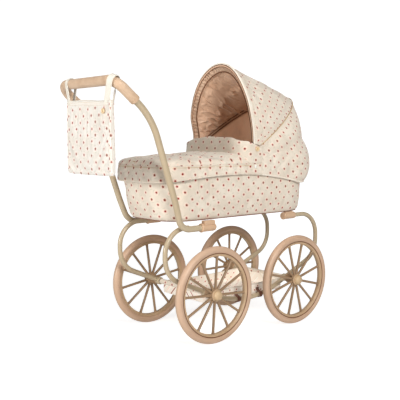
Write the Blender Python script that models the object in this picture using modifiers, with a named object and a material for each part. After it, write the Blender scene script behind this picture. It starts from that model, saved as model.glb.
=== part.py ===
"""Doll stroller: a small pram with a padded bassinet, a folding hood, a shopping basket and a hand bag.

+X is the direction of travel, towards the hood, +Y is the left side and +Z is up. Every length is in
metres. Stations along X are measured from the rear axle, and one empty then carries the whole stroller so
that the world origin is on the floor, midway along and across the stroller.
"""
import math

import bmesh
import bpy
from mathutils import Matrix, Vector

# Running gear
WHEEL_RADIUS = 0.110
TYRE_RADIUS = 0.0086
RIM_OUTER_RADIUS = 0.0937
RIM_INNER_RADIUS = 0.0880
SPOKE_COUNT = 12
WHEELBASE = 0.263
WHEEL_PLANE_Y = 0.122
HUB_OUTBOARD = 0.0080
HUB_INBOARD = 0.0250
AXLE_RADIUS = 0.0040
AXLE_BORE_RADIUS = 0.0043
AXLE_HALF_LENGTH = 0.134
GAP = 0.0003

# Side tubes: two springs and the rail between the axles, bent from one tube on each side
SIDE_TUBE_RADIUS = 0.0055
SIDE_TUBE_Y = 0.088
SPRING_REACH = 0.1125
SPRING_LOWER_CORNER_Z = 0.1595
SPRING_TOP_Z = 0.266
SPRING_LOWER_BEND = 0.060
SPRING_UPPER_BEND = 0.055
RAIL_DIP_Z = 0.078
RAIL_DIP_X = 0.0762
RAIL_BEND = 0.270
BOSS_RADIUS = 0.0090
BOSS_HALF_LENGTH = 0.0070

# Push handle
HANDLE_TUBE_RADIUS = 0.0070
HANDLE_FOOT_Y = 0.102
HANDLE_SPREAD_Y = 0.109
HANDLE_TOP_Y = 0.112
HANDLE_FOOT = (-0.0795, 0.261)
HANDLE_SPREAD = (-0.0981, 0.3155)
HANDLE_KNEE = (-0.1615, 0.501)
HANDLE_BAR = (-0.248, 0.573)
GRIP_RADIUS = 0.0108
GRIP_START = (-0.1965, 0.5301)

# Bassinet
BASSINET_BASE_Z = 0.277
BASSINET_TOP_Z = 0.3985
BASSINET_REAR_BASE_X = -0.1050
BASSINET_REAR_TOP_X = -0.1225
BASSINET_HEAD_X = 0.347
BASSINET_BASE_HALF = 0.098
BASSINET_TOP_HALF = 0.1055
BASSINET_WALL = 0.0040
REAR_CORNER_RADIUS = 0.065
HEAD_CORNER_RADIUS = 0.080

# Apron over the foot half, with its skirt and the wind flap that stands before the hood
APRON_REAR_X = -0.1275
APRON_HALF = 0.1120
APRON_SEAM_Z = 0.400
APRON_END_X = 0.152
APRON_TOP_END_X = 0.094
SKIRT_PEAK_X = 0.070
SKIRT_PEAK_Z = 0.376
SKIRT_LOW_Z = 0.349
CLOTH = 0.0015
FLAP_X = 0.090
FLAP_TOP_Z = 0.462
FLAP_BACK_Z = 0.446
FLAP_HALF = 0.1140

# Hood
PIVOT_X = 0.140
PIVOT_Z = 0.434
FRONT_BOW_ANGLE = math.radians(93.0)
MID_BOW_ANGLE = math.radians(33.0)
FRONT_ARCH = (0.2025, 0.1100)
MID_ARCH = (0.2400, 0.1100)
ARCH_LEG = 0.036
BOW_WIRE_RADIUS = 0.0020
HOOD_HEM_HALF = 0.1125
HOOD_HEM_HEAD_X = 0.350
HOOD_SIDE_END_X = 0.250
HOOD_BULGE = 0.026
HOOD_MIDDLE = (0.24, 0.0, 0.43)

# Basket under the bassinet
BASKET_HALF = 0.0804
BASKET_FLOOR_Z = 0.0810
BASKET_RIM_Z = 0.1085
BASKET_CORNER_RADIUS = 0.0060
TAB_STATIONS = (("rear", 0.100), ("front", 0.172))

# Bag on the handle
BAG_CENTRE_Y = -0.010
BAG_HALF_WIDTH = 0.089
BAG_THICKNESS = 0.0130
BAG_LOW_Z = 0.385
BAG_TOP_Z = 0.533
STRAP_SPREAD = 0.071
STRAP_WIDTH = 0.0100
STRAP_THICKNESS = 0.0012

# The world origin is midway between the bag strap behind and the front spring ahead
FRONT_END_X = WHEELBASE + SPRING_REACH + SIDE_TUBE_RADIUS
REAR_END_X = HANDLE_BAR[0] - GRIP_RADIUS - GAP - STRAP_THICKNESS
MIDDLE_X = (FRONT_END_X + REAR_END_X) / 2.0

SIDES = (("right", -1.0), ("left", 1.0))
AXLES = (("rear", 0.0), ("front", WHEELBASE))
SPOKE_PHASE = {"rear_right": 4.0, "front_right": 15.0, "rear_left": -8.0, "front_left": 0.0}


# ---------------------------------------------------------------------------------------------- helpers
def clear_scene():
    for item in list(bpy.data.objects):
        bpy.data.objects.remove(item, do_unlink=True)


def new_collection(name):
    collection = bpy.data.collections.new(name)
    bpy.context.scene.collection.children.link(collection)
    return collection


def new_datum(name, location, parent=None):
    """An empty that carries other pieces."""
    datum = bpy.data.objects.new(name, None)
    datum.location = location
    datum.parent = parent
    PARTS.objects.link(datum)
    return datum


clear_scene()
PARTS = new_collection("doll_stroller")
CUTTERS = new_collection("cutters")
DATUM = new_datum("rear_axle_datum", (-MIDDLE_X, 0.0, 0.0))
BAG_SWING = new_datum("bag_swing_axis", (HANDLE_BAR[0], 0.0, HANDLE_BAR[1]), DATUM)


def make_material(name, colour, roughness, metallic=0.0):
    material = bpy.data.materials.new(name)
    material.use_nodes = True
    shader = material.node_tree.nodes["Principled BSDF"]
    shader.inputs["Base Color"].default_value = (*colour, 1.0)
    shader.inputs["Roughness"].default_value = roughness
    shader.inputs["Metallic"].default_value = metallic
    return material


PAINTED_TUBE = make_material("khaki_painted_steel", (0.53, 0.43, 0.29), 0.35)
WHEEL_PLASTIC = make_material("tan_moulded_plastic", (0.50, 0.34, 0.23), 0.40)
TYRE_PLASTIC = make_material("tan_soft_tyre", (0.48, 0.31, 0.21), 0.55)
SLEEVE_PLASTIC = make_material("pale_tan_plastic", (0.60, 0.41, 0.26), 0.45)
CAP_PLASTIC = make_material("beige_gold_cap", (0.56, 0.43, 0.26), 0.30)
BARE_STEEL = make_material("zinc_plated_steel", (0.60, 0.59, 0.57), 0.30, 1.0)
GRIP_LEATHER = make_material("peach_tan_leather", (0.68, 0.47, 0.31), 0.50)
PRINTED_COTTON = make_material("cream_dotted_cotton", (0.86, 0.79, 0.70), 0.90)
MATTRESS_COTTON = make_material("cream_quilted_cotton", (0.88, 0.83, 0.76), 0.90)
BOARD_WOOD = make_material("base_fibreboard", (0.42, 0.28, 0.18), 0.75)
BUTTON_WOOD = make_material("pale_button_wood", (0.76, 0.58, 0.36), 0.55)
SNAP_PLASTIC = make_material("white_snap", (0.90, 0.89, 0.86), 0.35)
WEBBING = make_material("cream_webbing", (0.87, 0.83, 0.76), 0.85)
DARK_WEBBING = make_material("rust_brown_tab", (0.30, 0.13, 0.09), 0.80)


def link_part(name, data, material, collection=None):
    """Put a mesh or a curve in the stroller, carried by the rear axle datum."""
    part = bpy.data.objects.new(name, data)
    (collection or PARTS).objects.link(part)
    part.parent = DATUM
    if material is not None:
        data.materials.clear()
        data.materials.append(material)
    return part


def make_cutter(name, mesh):
    cutter = link_part(name, mesh, None, CUTTERS)
    cutter.hide_render = True
    cutter.display_type = "WIRE"
    return cutter


def mesh_from_bmesh(name, shape):
    bmesh.ops.recalc_face_normals(shape, faces=shape.faces)
    mesh = bpy.data.meshes.new(name)
    shape.to_mesh(mesh)
    shape.free()
    return mesh


def evaluated_mesh(item):
    """The item's mesh as its modifiers leave it; the item itself is removed."""
    bpy.context.view_layer.update()
    graph = bpy.context.evaluated_depsgraph_get()
    mesh = bpy.data.meshes.new_from_object(item.evaluated_get(graph))
    bpy.data.objects.remove(item, do_unlink=True)
    return mesh


def weld(mesh):
    shape = bmesh.new()
    shape.from_mesh(mesh)
    bmesh.ops.remove_doubles(shape, verts=shape.verts, dist=0.00001)
    bmesh.ops.recalc_face_normals(shape, faces=shape.faces)
    shape.to_mesh(mesh)
    shape.free()
    return mesh


def smooth(part, angle=40.0):
    part.data.shade_smooth()
    part.data.set_sharp_from_angle(angle=math.radians(angle))
    return part


def add_boolean(part, cutter, operation):
    modifier = part.modifiers.new(operation.lower(), "BOOLEAN")
    modifier.operation = operation
    modifier.object = cutter
    return modifier


def add_solidify(part, thickness, offset=-1.0):
    modifier = part.modifiers.new("solidify", "SOLIDIFY")
    modifier.thickness = thickness
    modifier.offset = offset
    modifier.use_even_offset = True
    return modifier


def add_bevel(part, width, segments=2):
    modifier = part.modifiers.new("bevel", "BEVEL")
    modifier.width = width
    modifier.segments = segments
    modifier.limit_method = "ANGLE"
    return modifier


def finished(part):
    """The part with its modifiers made permanent, under the same name and in the same place."""
    name = part.name
    matrix = part.matrix_basis.copy()
    collection = part.users_collection[0]
    material = part.data.materials[0] if part.data.materials else None
    mesh = evaluated_mesh(part)
    mesh.name = name
    result = link_part(name, mesh, material, collection)
    result.matrix_basis = matrix
    return result


def bent_route(corners, degrees_per_step=15.0):
    """Points along straight runs whose corners are rounded: corners are (point, bend radius)."""
    points = [Vector(corners[0][0])]
    for index in range(1, len(corners) - 1):
        corner = Vector(corners[index][0])
        back = (Vector(corners[index - 1][0]) - corner).normalized()
        ahead = (Vector(corners[index + 1][0]) - corner).normalized()
        turn = math.pi - back.angle(ahead)
        radius = corners[index][1]
        centre = corner + (back + ahead).normalized() * (radius / math.cos(turn / 2.0))
        start = corner + back * (radius * math.tan(turn / 2.0)) - centre
        axis = back.cross(ahead).normalized()
        steps = max(2, math.ceil(math.degrees(turn) / degrees_per_step))
        for step in range(steps + 1):
            points.append(centre + Matrix.Rotation(-turn * step / steps, 3, axis) @ start)
    points.append(Vector(corners[-1][0]))
    return points


def tube_curve(name, points, radius, resolution, capped=True):
    curve = bpy.data.curves.new(name, "CURVE")
    curve.dimensions = "3D"
    curve.bevel_depth = radius
    curve.bevel_resolution = resolution
    curve.use_fill_caps = capped
    spline = curve.splines.new("POLY")
    spline.points.add(len(points) - 1)
    for target, point in zip(spline.points, points):
        target.co = (*point, 1.0)
    return curve


def tube_mesh(name, points, radius, resolution, capped=True):
    curve_object = link_part(name + "_curve", tube_curve(name, points, radius, resolution, capped), None)
    return weld(evaluated_mesh(curve_object))


def profile_mesh(name, profile, closed):
    mesh = bpy.data.meshes.new(name)
    edges = [(i, i + 1) for i in range(len(profile) - 1)]
    if closed:
        edges.append((len(profile) - 1, 0))
    mesh.from_pydata([(radius, 0.0, height) for radius, height in profile], edges, [])
    return mesh


def turned(name, profile, closed, steps, material, collection=None):
    """A turned shape about its own Z; the profile of (radius, height) runs down its outer side."""
    part = link_part(name, profile_mesh(name, profile, closed), material, collection)
    screw = part.modifiers.new("screw", "SCREW")
    screw.steps = steps
    screw.render_steps = steps
    screw.use_merge_vertices = True
    screw.merge_threshold = 0.00001
    screw.use_smooth_shade = True
    return part


def ring_profile(inner, outer, low, high):
    return [(outer, high), (outer, low), (inner, low), (inner, high)]


def face_outboard(part, side, location):
    """Turn a part's own +Z away from the centre plane."""
    part.rotation_euler = (-side * math.pi / 2.0, 0.0, 0.0)
    part.location = location
    return part


def box_mesh(name, low, high):
    shape = bmesh.new()
    bmesh.ops.create_cube(shape, size=1.0)
    size = Vector(high) - Vector(low)
    bmesh.ops.scale(shape, vec=size, verts=shape.verts)
    bmesh.ops.translate(shape, vec=(Vector(high) + Vector(low)) / 2.0, verts=shape.verts)
    return mesh_from_bmesh(name, shape)


def cylinder_mesh(name, radius, half_length, centre, segments=16):
    """A cylinder along Y."""
    shape = bmesh.new()
    bmesh.ops.create_cone(shape, cap_ends=True, segments=segments, radius1=radius, radius2=radius,
                          depth=2.0 * half_length)
    bmesh.ops.rotate(shape, cent=(0, 0, 0), matrix=Matrix.Rotation(math.pi / 2.0, 3, "X"),
                     verts=shape.verts)
    bmesh.ops.translate(shape, vec=centre, verts=shape.verts)
    return mesh_from_bmesh(name, shape)


def plan_ring(rear, head, half, rear_radius, head_radius, corner_steps, side_steps):
    """Points (x, y) round a rectangle with rounded corners, starting on the right side's rear end."""
    corners = (
        (Vector((rear + rear_radius, -half + rear_radius)), rear_radius, 180.0),
        (Vector((head - head_radius, -half + head_radius)), head_radius, 270.0),
        (Vector((head - head_radius, half - head_radius)), head_radius, 0.0),
        (Vector((rear + rear_radius, half - rear_radius)), rear_radius, 90.0),
    )
    points = []
    for index, (centre, radius, start) in enumerate(corners):
        for step in range(corner_steps + 1):
            angle = math.radians(start + 90.0 * step / corner_steps)
            points.append(centre + radius * Vector((math.cos(angle), math.sin(angle))))
        if index in (0, 2):
            following = corners[index + 1]
            angle = math.radians(following[2])
            end = following[0] + following[1] * Vector((math.cos(angle), math.sin(angle)))
            begin = points[-1]
            for step in range(1, side_steps):
                points.append(begin.lerp(end, step / side_steps))
    return points


def loft(rings, close_first, close_last, ring_is_closed=True):
    """Faces between rings of equal point counts."""
    shape = bmesh.new()
    rows = [[shape.verts.new(point) for point in ring] for ring in rings]
    count = len(rows[0])
    spans = count if ring_is_closed else count - 1
    for lower, upper in zip(rows, rows[1:]):
        for i in range(spans):
            j = (i + 1) % count
            shape.faces.new((lower[i], lower[j], upper[j], upper[i]))
    if close_first:
        shape.faces.new(list(reversed(rows[0])))
    if close_last:
        shape.faces.new(rows[-1])
    return shape


# --------------------------------------------------------------------------------------- running gear
def wheel_mesh():
    """Rim, twelve tapered spokes and hub, moulded in one piece about the mesh's own Z."""
    rim_profile = ring_profile(RIM_INNER_RADIUS, RIM_OUTER_RADIUS, -0.0055, 0.0055)
    rim = turned("wheel_rim", rim_profile, True, 32, WHEEL_PLASTIC)
    shape = bmesh.new()
    spoke_start = 0.0105
    spoke_end = 0.0905
    for index in range(SPOKE_COUNT):
        matrix = (Matrix.Rotation(2.0 * math.pi * index / SPOKE_COUNT, 4, "Z")
                  @ Matrix.Translation(((spoke_start + spoke_end) / 2.0, 0.0, 0.0))
                  @ Matrix.Rotation(math.pi / 2.0, 4, "Y"))
        bmesh.ops.create_cone(shape, cap_ends=True, segments=6, radius1=0.0022, radius2=0.0028,
                              depth=spoke_end - spoke_start, matrix=matrix)
    spokes = make_cutter("spokes", mesh_from_bmesh("spokes", shape))
    hub_profile = [(0.0125, HUB_OUTBOARD), (0.0140, 0.0065), (0.0140, -0.0060), (0.0110, -0.0080),
                   (0.0110, -HUB_INBOARD), (AXLE_BORE_RADIUS, -HUB_INBOARD),
                   (AXLE_BORE_RADIUS, HUB_OUTBOARD)]
    hub = turned("hub_solid", hub_profile, True, 16, WHEEL_PLASTIC, CUTTERS)
    hub.hide_render = True
    hub.display_type = "WIRE"
    add_boolean(rim, spokes, "UNION")
    add_boolean(rim, hub, "UNION")
    mesh = weld(evaluated_mesh(rim))
    mesh.name = "moulded_wheel"
    mesh.materials.clear()
    mesh.materials.append(WHEEL_PLASTIC)
    bpy.data.objects.remove(spokes, do_unlink=True)
    bpy.data.objects.remove(hub, do_unlink=True)
    return mesh


def tyre_profile():
    centre = WHEEL_RADIUS - TYRE_RADIUS
    seat = RIM_OUTER_RADIUS + 0.0007
    profile = []
    for step in range(8):
        angle = math.radians(90.0 - 45.0 * step)
        radius = max(centre + TYRE_RADIUS * math.cos(angle), seat)
        profile.append((radius, TYRE_RADIUS * math.sin(angle)))
    return profile


def add_wheel(corner, side, station, mesh):
    centre = (station, side * WHEEL_PLANE_Y, WHEEL_RADIUS)
    wheel = link_part(corner + "_wheel", mesh, None)
    face_outboard(wheel, side, centre)
    phase = math.radians(SPOKE_PHASE[corner])
    wheel.rotation_euler.rotate(Matrix.Rotation(phase, 3, "Y"))
    smooth(wheel)
    face_outboard(turned(corner + "_tyre", tyre_profile(), True, 32, TYRE_PLASTIC), side, centre)
    rim = HUB_OUTBOARD + GAP
    cap_profile = [(0.0, 0.0180), (0.0050, 0.0173), (0.0085, 0.0152), (0.0105, 0.0122), (0.0110, rim),
                   (0.0088, rim), (0.0088, 0.0125), (0.0, 0.0150)]
    face_outboard(turned(corner + "_hub_cap", cap_profile, False, 16, CAP_PLASTIC), side, centre)
    clip = ring_profile(AXLE_BORE_RADIUS, 0.0075, rim, rim + 0.0010)
    face_outboard(turned(corner + "_axle_clip", clip, True, 12, BARE_STEEL), side, centre)
    inner_face = -HUB_INBOARD - GAP
    washer = ring_profile(AXLE_BORE_RADIUS, 0.0090, inner_face - 0.0014, inner_face)
    face_outboard(turned(corner + "_washer", washer, True, 12, SLEEVE_PLASTIC), side, centre)


def add_axle(end, station):
    mesh = cylinder_mesh(end + "_axle", AXLE_RADIUS, AXLE_HALF_LENGTH, (0, 0, 0), 12)
    axle = link_part(end + "_axle", mesh, BARE_STEEL)
    axle.location = (station, 0.0, WHEEL_RADIUS)
    smooth(axle)


def side_route(side):
    """Rear spring, rail and front spring, in the plane of one side."""
    y = side * SIDE_TUBE_Y
    rear_x = -SPRING_REACH
    front_x = WHEELBASE + SPRING_REACH
    corners = [
        ((-0.0480, y, SPRING_TOP_Z - 0.0035), 0.0),
        ((rear_x, y, SPRING_TOP_Z - 0.0035), SPRING_UPPER_BEND),
        ((rear_x, y, SPRING_LOWER_CORNER_Z), SPRING_LOWER_BEND),
        ((RAIL_DIP_X, y, RAIL_DIP_Z), RAIL_BEND),
        ((WHEELBASE - RAIL_DIP_X, y, RAIL_DIP_Z), RAIL_BEND),
        ((front_x, y, SPRING_LOWER_CORNER_Z), SPRING_LOWER_BEND),
        ((front_x, y, SPRING_TOP_Z), SPRING_UPPER_BEND),
        ((0.2750, y, SPRING_TOP_Z), 0.0),
    ]
    return bent_route(corners)


def add_side_tube(name, side):
    tube = link_part(name + "_side_tube", tube_mesh(name, side_route(side), SIDE_TUBE_RADIUS, 2),
                     PAINTED_TUBE)
    for _, station in AXLES:
        centre = (station, side * SIDE_TUBE_Y, WHEEL_RADIUS)
        boss = make_cutter("boss", cylinder_mesh("boss", BOSS_RADIUS, BOSS_HALF_LENGTH, centre))
        add_boolean(tube, boss, "UNION")
    for _, station in AXLES:
        centre = (station, side * SIDE_TUBE_Y, WHEEL_RADIUS)
        bore = make_cutter("bore", cylinder_mesh("bore", AXLE_BORE_RADIUS, 0.02, centre, 12))
        add_boolean(tube, bore, "DIFFERENCE")
    smooth(finished(tube))


# --------------------------------------------------------------------------------------- push handle
def handle_corners():
    """The handle's centre line: up the right side, across the bar, and down the left side."""
    right = [
        ((0.0120, -HANDLE_FOOT_Y, HANDLE_FOOT[1]), 0.0),
        ((HANDLE_FOOT[0], -HANDLE_FOOT_Y, HANDLE_FOOT[1]), 0.034),
        ((HANDLE_SPREAD[0], -HANDLE_SPREAD_Y, HANDLE_SPREAD[1]), 0.150),
        ((HANDLE_KNEE[0], -HANDLE_TOP_Y, HANDLE_KNEE[1]), 0.160),
        ((HANDLE_BAR[0], -HANDLE_TOP_Y, HANDLE_BAR[1]), 0.026),
    ]
    left = [((x, -y, z), radius) for (x, y, z), radius in reversed(right)]
    return right + left


def add_handle():
    mesh = tube_mesh("handle_tube", bent_route(handle_corners()), HANDLE_TUBE_RADIUS, 2)
    smooth(link_part("handle_tube", mesh, PAINTED_TUBE))
    start = (GRIP_START[0], -HANDLE_TOP_Y, GRIP_START[1])
    bar = handle_corners()[4:6]
    end = (GRIP_START[0], HANDLE_TOP_Y, GRIP_START[1])
    route = bent_route([(start, 0.0)] + bar + [(end, 0.0)])
    mesh = tube_mesh("handle_grip", route, GRIP_RADIUS, 2, capped=False)
    grip = smooth(link_part("handle_grip", mesh, GRIP_LEATHER))
    add_solidify(grip, GRIP_RADIUS - HANDLE_TUBE_RADIUS - 2.0 * GAP)


def add_rear_sleeve(name, side):
    """The blind socket under the bassinet that the handle's foot plugs into."""
    profile = [(0.0, 0.0420), (0.0055, 0.0414), (0.0082, 0.0385), (0.0090, 0.0345), (0.0090, 0.0045),
               (0.0103, 0.0035), (0.0103, 0.0), (0.0074, 0.0), (0.0074, 0.0385), (0.0, 0.0385)]
    sleeve = turned(name + "_rear_sleeve", profile, False, 16, SLEEVE_PLASTIC)
    sleeve.rotation_euler = (0.0, math.pi / 2.0, 0.0)
    sleeve.location = (-0.0250, side * HANDLE_FOOT_Y, HANDLE_FOOT[1])
    y = side * (HANDLE_FOOT_Y - 0.0100)
    saddle = make_cutter("saddle", box_mesh("saddle", (-0.018, y - 0.0080, HANDLE_FOOT[1] + 0.0078),
                                            (0.012, y + 0.0100, BASSINET_BASE_Z - GAP)))
    add_boolean(sleeve, saddle, "UNION")
    smooth(finished(sleeve))


def add_front_sleeve(name, side):
    """The open sleeve under the bassinet that the front spring's upper end plugs into."""
    profile = [(0.0085, 0.0400), (0.0085, 0.0030), (0.0092, 0.0020), (0.0092, 0.0), (0.0059, 0.0),
               (0.0059, 0.0400)]
    sleeve = turned(name + "_front_sleeve", profile, True, 16, SLEEVE_PLASTIC)
    sleeve.rotation_euler = (0.0, math.pi / 2.0, 0.0)
    sleeve.location = (0.2520, side * SIDE_TUBE_Y, SPRING_TOP_Z)
    y = side * SIDE_TUBE_Y
    saddle = make_cutter("saddle", box_mesh("saddle", (0.258, y - 0.0040, SPRING_TOP_Z + 0.0068),
                                            (0.284, y + 0.0040, BASSINET_BASE_Z - GAP)))
    add_boolean(sleeve, saddle, "UNION")
    smooth(finished(sleeve))


# ----------------------------------------------------------------------------------------- bassinet
def bassinet_ring(height, inset=0.0, corner_steps=6, side_steps=1):
    """The bassinet's outline at one height, leaning out towards the rim."""
    rise = (height - BASSINET_BASE_Z) / (BASSINET_TOP_Z - BASSINET_BASE_Z)
    rear = BASSINET_REAR_BASE_X + rise * (BASSINET_REAR_TOP_X - BASSINET_REAR_BASE_X) + inset
    half = BASSINET_BASE_HALF + rise * (BASSINET_TOP_HALF - BASSINET_BASE_HALF) - inset
    plan = plan_ring(rear, BASSINET_HEAD_X - 0.004 * (1.0 - rise) - inset, half,
                     REAR_CORNER_RADIUS - inset / 2.0, HEAD_CORNER_RADIUS - inset / 2.0,
                     corner_steps, side_steps)
    return [(point.x, point.y, height) for point in plan]


def add_bassinet():
    rings = [bassinet_ring(BASSINET_BASE_Z, 0.0060), bassinet_ring(BASSINET_BASE_Z + 0.0020, 0.0018),
             bassinet_ring(BASSINET_BASE_Z + 0.0060), bassinet_ring(BASSINET_TOP_Z)]
    mesh = mesh_from_bmesh("bassinet_shell", loft(rings, True, False))
    shell = smooth(link_part("bassinet_shell", mesh, PRINTED_COTTON))
    add_solidify(shell, BASSINET_WALL)
    floor = BASSINET_BASE_Z + BASSINET_WALL + GAP
    board = [bassinet_ring(floor, 0.0100), bassinet_ring(floor + 0.0040, 0.0100)]
    mesh = mesh_from_bmesh("base_board", loft(board, True, True))
    link_part("base_board", mesh, BOARD_WOOD)
    low = floor + 0.0040 + GAP
    pad = [bassinet_ring(low, 0.0130), bassinet_ring(low + 0.0040, 0.0090),
           bassinet_ring(low + 0.0180, 0.0090), bassinet_ring(low + 0.0230, 0.0150)]
    mesh = mesh_from_bmesh("mattress", loft(pad, True, True))
    smooth(link_part("mattress", mesh, MATTRESS_COTTON))
    wire_z = BASSINET_TOP_Z + GAP + BOW_WIRE_RADIUS
    wire = bassinet_ring(BASSINET_TOP_Z, BASSINET_WALL / 2.0)
    curve = tube_curve("rim_wire", [(x, y, wire_z) for x, y, _ in wire], BOW_WIRE_RADIUS, 1, False)
    curve.splines[0].use_cyclic_u = True
    hoop = link_part("rim_wire", curve, BARE_STEEL)
    mesh = weld(evaluated_mesh(hoop))
    smooth(link_part("rim_wire", mesh, BARE_STEEL))


def skirt_z(x):
    """The lower edge of the skirt and hood: it arches along the side and is lower at the head."""
    slope = 0.0145 if x < SKIRT_PEAK_X else 0.0225
    return max(SKIRT_PEAK_Z - slope * ((x - SKIRT_PEAK_X) / 0.2) ** 2, SKIRT_LOW_Z)


def dome_z(x, inset):
    """The apron's crown, which rises quickly inside its edge and stands higher towards the hood."""
    along = min(max((x - APRON_REAR_X) / (FLAP_X - APRON_REAR_X), 0.0), 1.0)
    crown = 0.0130 + 0.0115 * along
    return APRON_SEAM_Z + crown * math.sqrt(1.0 - (1.0 - inset / APRON_HALF) ** 8)


def apron_ring(inset):
    shrink = 1.0 - inset / APRON_HALF
    plan = plan_ring(APRON_REAR_X + inset, 0.36 - inset, APRON_HALF - inset,
                     REAR_CORNER_RADIUS * shrink, 0.05 * shrink, 5, 9)
    return [(point.x, point.y, dome_z(point.x, inset)) for point in plan]


def add_apron():
    """A domed cover with a skirt: open towards the hood, where only its sides run on."""
    edge = apron_ring(0.0)
    rings = [[(x, y, skirt_z(x)) for x, y, _ in edge]]
    rings += [apron_ring(inset) for inset in (0.0, 0.0030, 0.0100, 0.0300, 0.0650, 0.1000)]
    shape = loft(rings, False, True)
    geometry = shape.verts[:] + shape.edges[:] + shape.faces[:]
    bmesh.ops.bisect_plane(shape, geom=geometry, plane_co=(APRON_END_X, 0, 0), plane_no=(1, 0, 0),
                           clear_outer=True)
    apron = smooth(link_part("apron", mesh_from_bmesh("apron", shape), PRINTED_COTTON))
    add_solidify(apron, CLOTH)
    low = (APRON_TOP_END_X, -0.2, APRON_SEAM_Z + 0.0010)
    window = make_cutter("apron_window", box_mesh("apron_window", low, (0.3, 0.2, 0.5)))
    add_boolean(apron, window, "DIFFERENCE")
    smooth(finished(apron))


def flap_route():
    back = APRON_END_X - 0.002
    middle = FLAP_HALF - 0.0015
    corners = [((back, -middle, 0.0), 0.0), ((FLAP_X, -middle, 0.0), 0.022),
               ((FLAP_X, middle, 0.0), 0.022), ((back, middle, 0.0), 0.0)]
    return bent_route(corners, 18.0)


def add_wind_flap():
    """The turned-up band: it crosses before the hood's opening and wraps back along both sides."""
    route = flap_route()
    rows = []
    for level in range(4):
        row = []
        for point in route:
            back = max((point.x - FLAP_X - 0.02) / (APRON_END_X - FLAP_X - 0.02), 0.0)
            top = FLAP_TOP_Z + (FLAP_BACK_Z - FLAP_TOP_Z) * back
            low = APRON_SEAM_Z + 0.0256
            if point.x > FLAP_X + 0.006:
                low = APRON_SEAM_Z + 0.0016
            row.append((point.x, point.y, low + (top - low) * level / 3.0))
        rows.append(row)
    mesh = mesh_from_bmesh("wind_flap", loft(rows, False, False, ring_is_closed=False))
    flap = smooth(link_part("wind_flap", mesh, PRINTED_COTTON))
    add_solidify(flap, 0.0030, 0.0)


def add_fastener(name, side, radius, thickness, face_y, station, height, material):
    """A domed disc on the side of the apron or flap."""
    profile = [(0.0, thickness), (radius * 0.7, thickness), (radius, thickness * 0.5), (radius, 0.0),
               (0.0, 0.0)]
    part = turned(name, profile, False, 14, material)
    face_outboard(part, side, (station, side * (face_y + GAP), height))


# --------------------------------------------------------------------------------------------- hood
def arch_points(reach, half, steps, leg_start=0.012):
    """An arch in its own plane as (distance from the pivot, y): straight legs and a half ellipse."""
    points = [(leg_start, -half)]
    for step in range(steps + 1):
        angle = math.pi * step / steps
        points.append((ARCH_LEG + (reach - ARCH_LEG) * math.sin(angle), -half * math.cos(angle)))
    points.append((leg_start, half))
    return points


def on_bow_plane(points, angle, shift=0.0):
    """Place an arch on the plane through the pivot axis at an angle above horizontal."""
    along = Vector((math.cos(angle), 0.0, math.sin(angle)))
    normal = Vector((-math.sin(angle), 0.0, math.cos(angle)))
    pivot = Vector((PIVOT_X, 0.0, PIVOT_Z)) + normal * shift
    return [pivot + along * distance + Vector((0.0, y, 0.0)) for distance, y in points]


def add_bow(name, reach, half, eye_y, angle):
    """A wire hoop whose two flattened ends turn on the hood's pivot pins."""
    arch = arch_points(reach, half, 18, 0.036)[1:-1]
    legs = [(0.0040, -eye_y), (0.0150, -eye_y)]
    points = on_bow_plane(legs + arch + [(d, -y) for d, y in reversed(legs)], 0.0)
    local = [point - Vector((PIVOT_X, 0.0, PIVOT_Z)) for point in points]
    bow = link_part(name, tube_mesh(name, local, BOW_WIRE_RADIUS, 1), BARE_STEEL)
    bow.location = (PIVOT_X, 0.0, PIVOT_Z)
    bow.rotation_euler = (0.0, -angle, 0.0)
    for label, side in SIDES:
        eye = turned("eye_" + label, ring_profile(0.0024, 0.0055, -0.0012, 0.0012), True, 14, None,
                     CUTTERS)
        eye.hide_render = True
        eye.display_type = "WIRE"
        face_outboard(eye, side, (PIVOT_X, side * eye_y, PIVOT_Z))
        add_boolean(bow, eye, "UNION")
    smooth(finished(bow))


def add_front_panel():
    """The cloth stretched between the two bows."""
    front = on_bow_plane(arch_points(*FRONT_ARCH, 18), FRONT_BOW_ANGLE, 0.0080)
    middle = on_bow_plane(arch_points(*MID_ARCH, 18), MID_BOW_ANGLE, 0.0010)
    rings = [[a.lerp(b, step / 4.0) for a, b in zip(front, middle)] for step in range(5)]
    mesh = mesh_from_bmesh("hood_front_panel", loft(rings, False, False, ring_is_closed=False))
    panel = smooth(link_part("hood_front_panel", mesh, PRINTED_COTTON))
    mesh.transform(Matrix.Translation((-PIVOT_X, 0.0, -PIVOT_Z)))
    panel.location = (PIVOT_X, 0.0, PIVOT_Z)
    add_solidify(panel, CLOTH, solidify_side(mesh, Vector((PIVOT_X, 0.0, PIVOT_Z))))


def hem_points(count):
    """The hood's hem round the head end, from the right side's front edge to the left side's."""
    start = APRON_END_X + 0.0040
    plan = plan_ring(start - 0.02, HOOD_HEM_HEAD_X, HOOD_HEM_HALF, 0.0100, HEAD_CORNER_RADIUS + 0.002,
                     8, 6)
    route = [point for point in plan if point.x > start]
    first = Vector((start, -HOOD_HEM_HALF))
    last = Vector((start, HOOD_HEM_HALF))
    return resample([first] + route + [last], count)


def resample(route, count):
    """Points at equal steps along a route."""
    lengths = [0.0]
    for a, b in zip(route, route[1:]):
        lengths.append(lengths[-1] + (b - a).length)
    points = []
    index = 0
    for step in range(count):
        target = lengths[-1] * step / (count - 1)
        while index < len(route) - 2 and lengths[index + 1] < target:
            index += 1
        part = (target - lengths[index]) / (lengths[index + 1] - lengths[index])
        points.append(route[index].lerp(route[index + 1], min(part, 1.0)))
    return points


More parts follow.
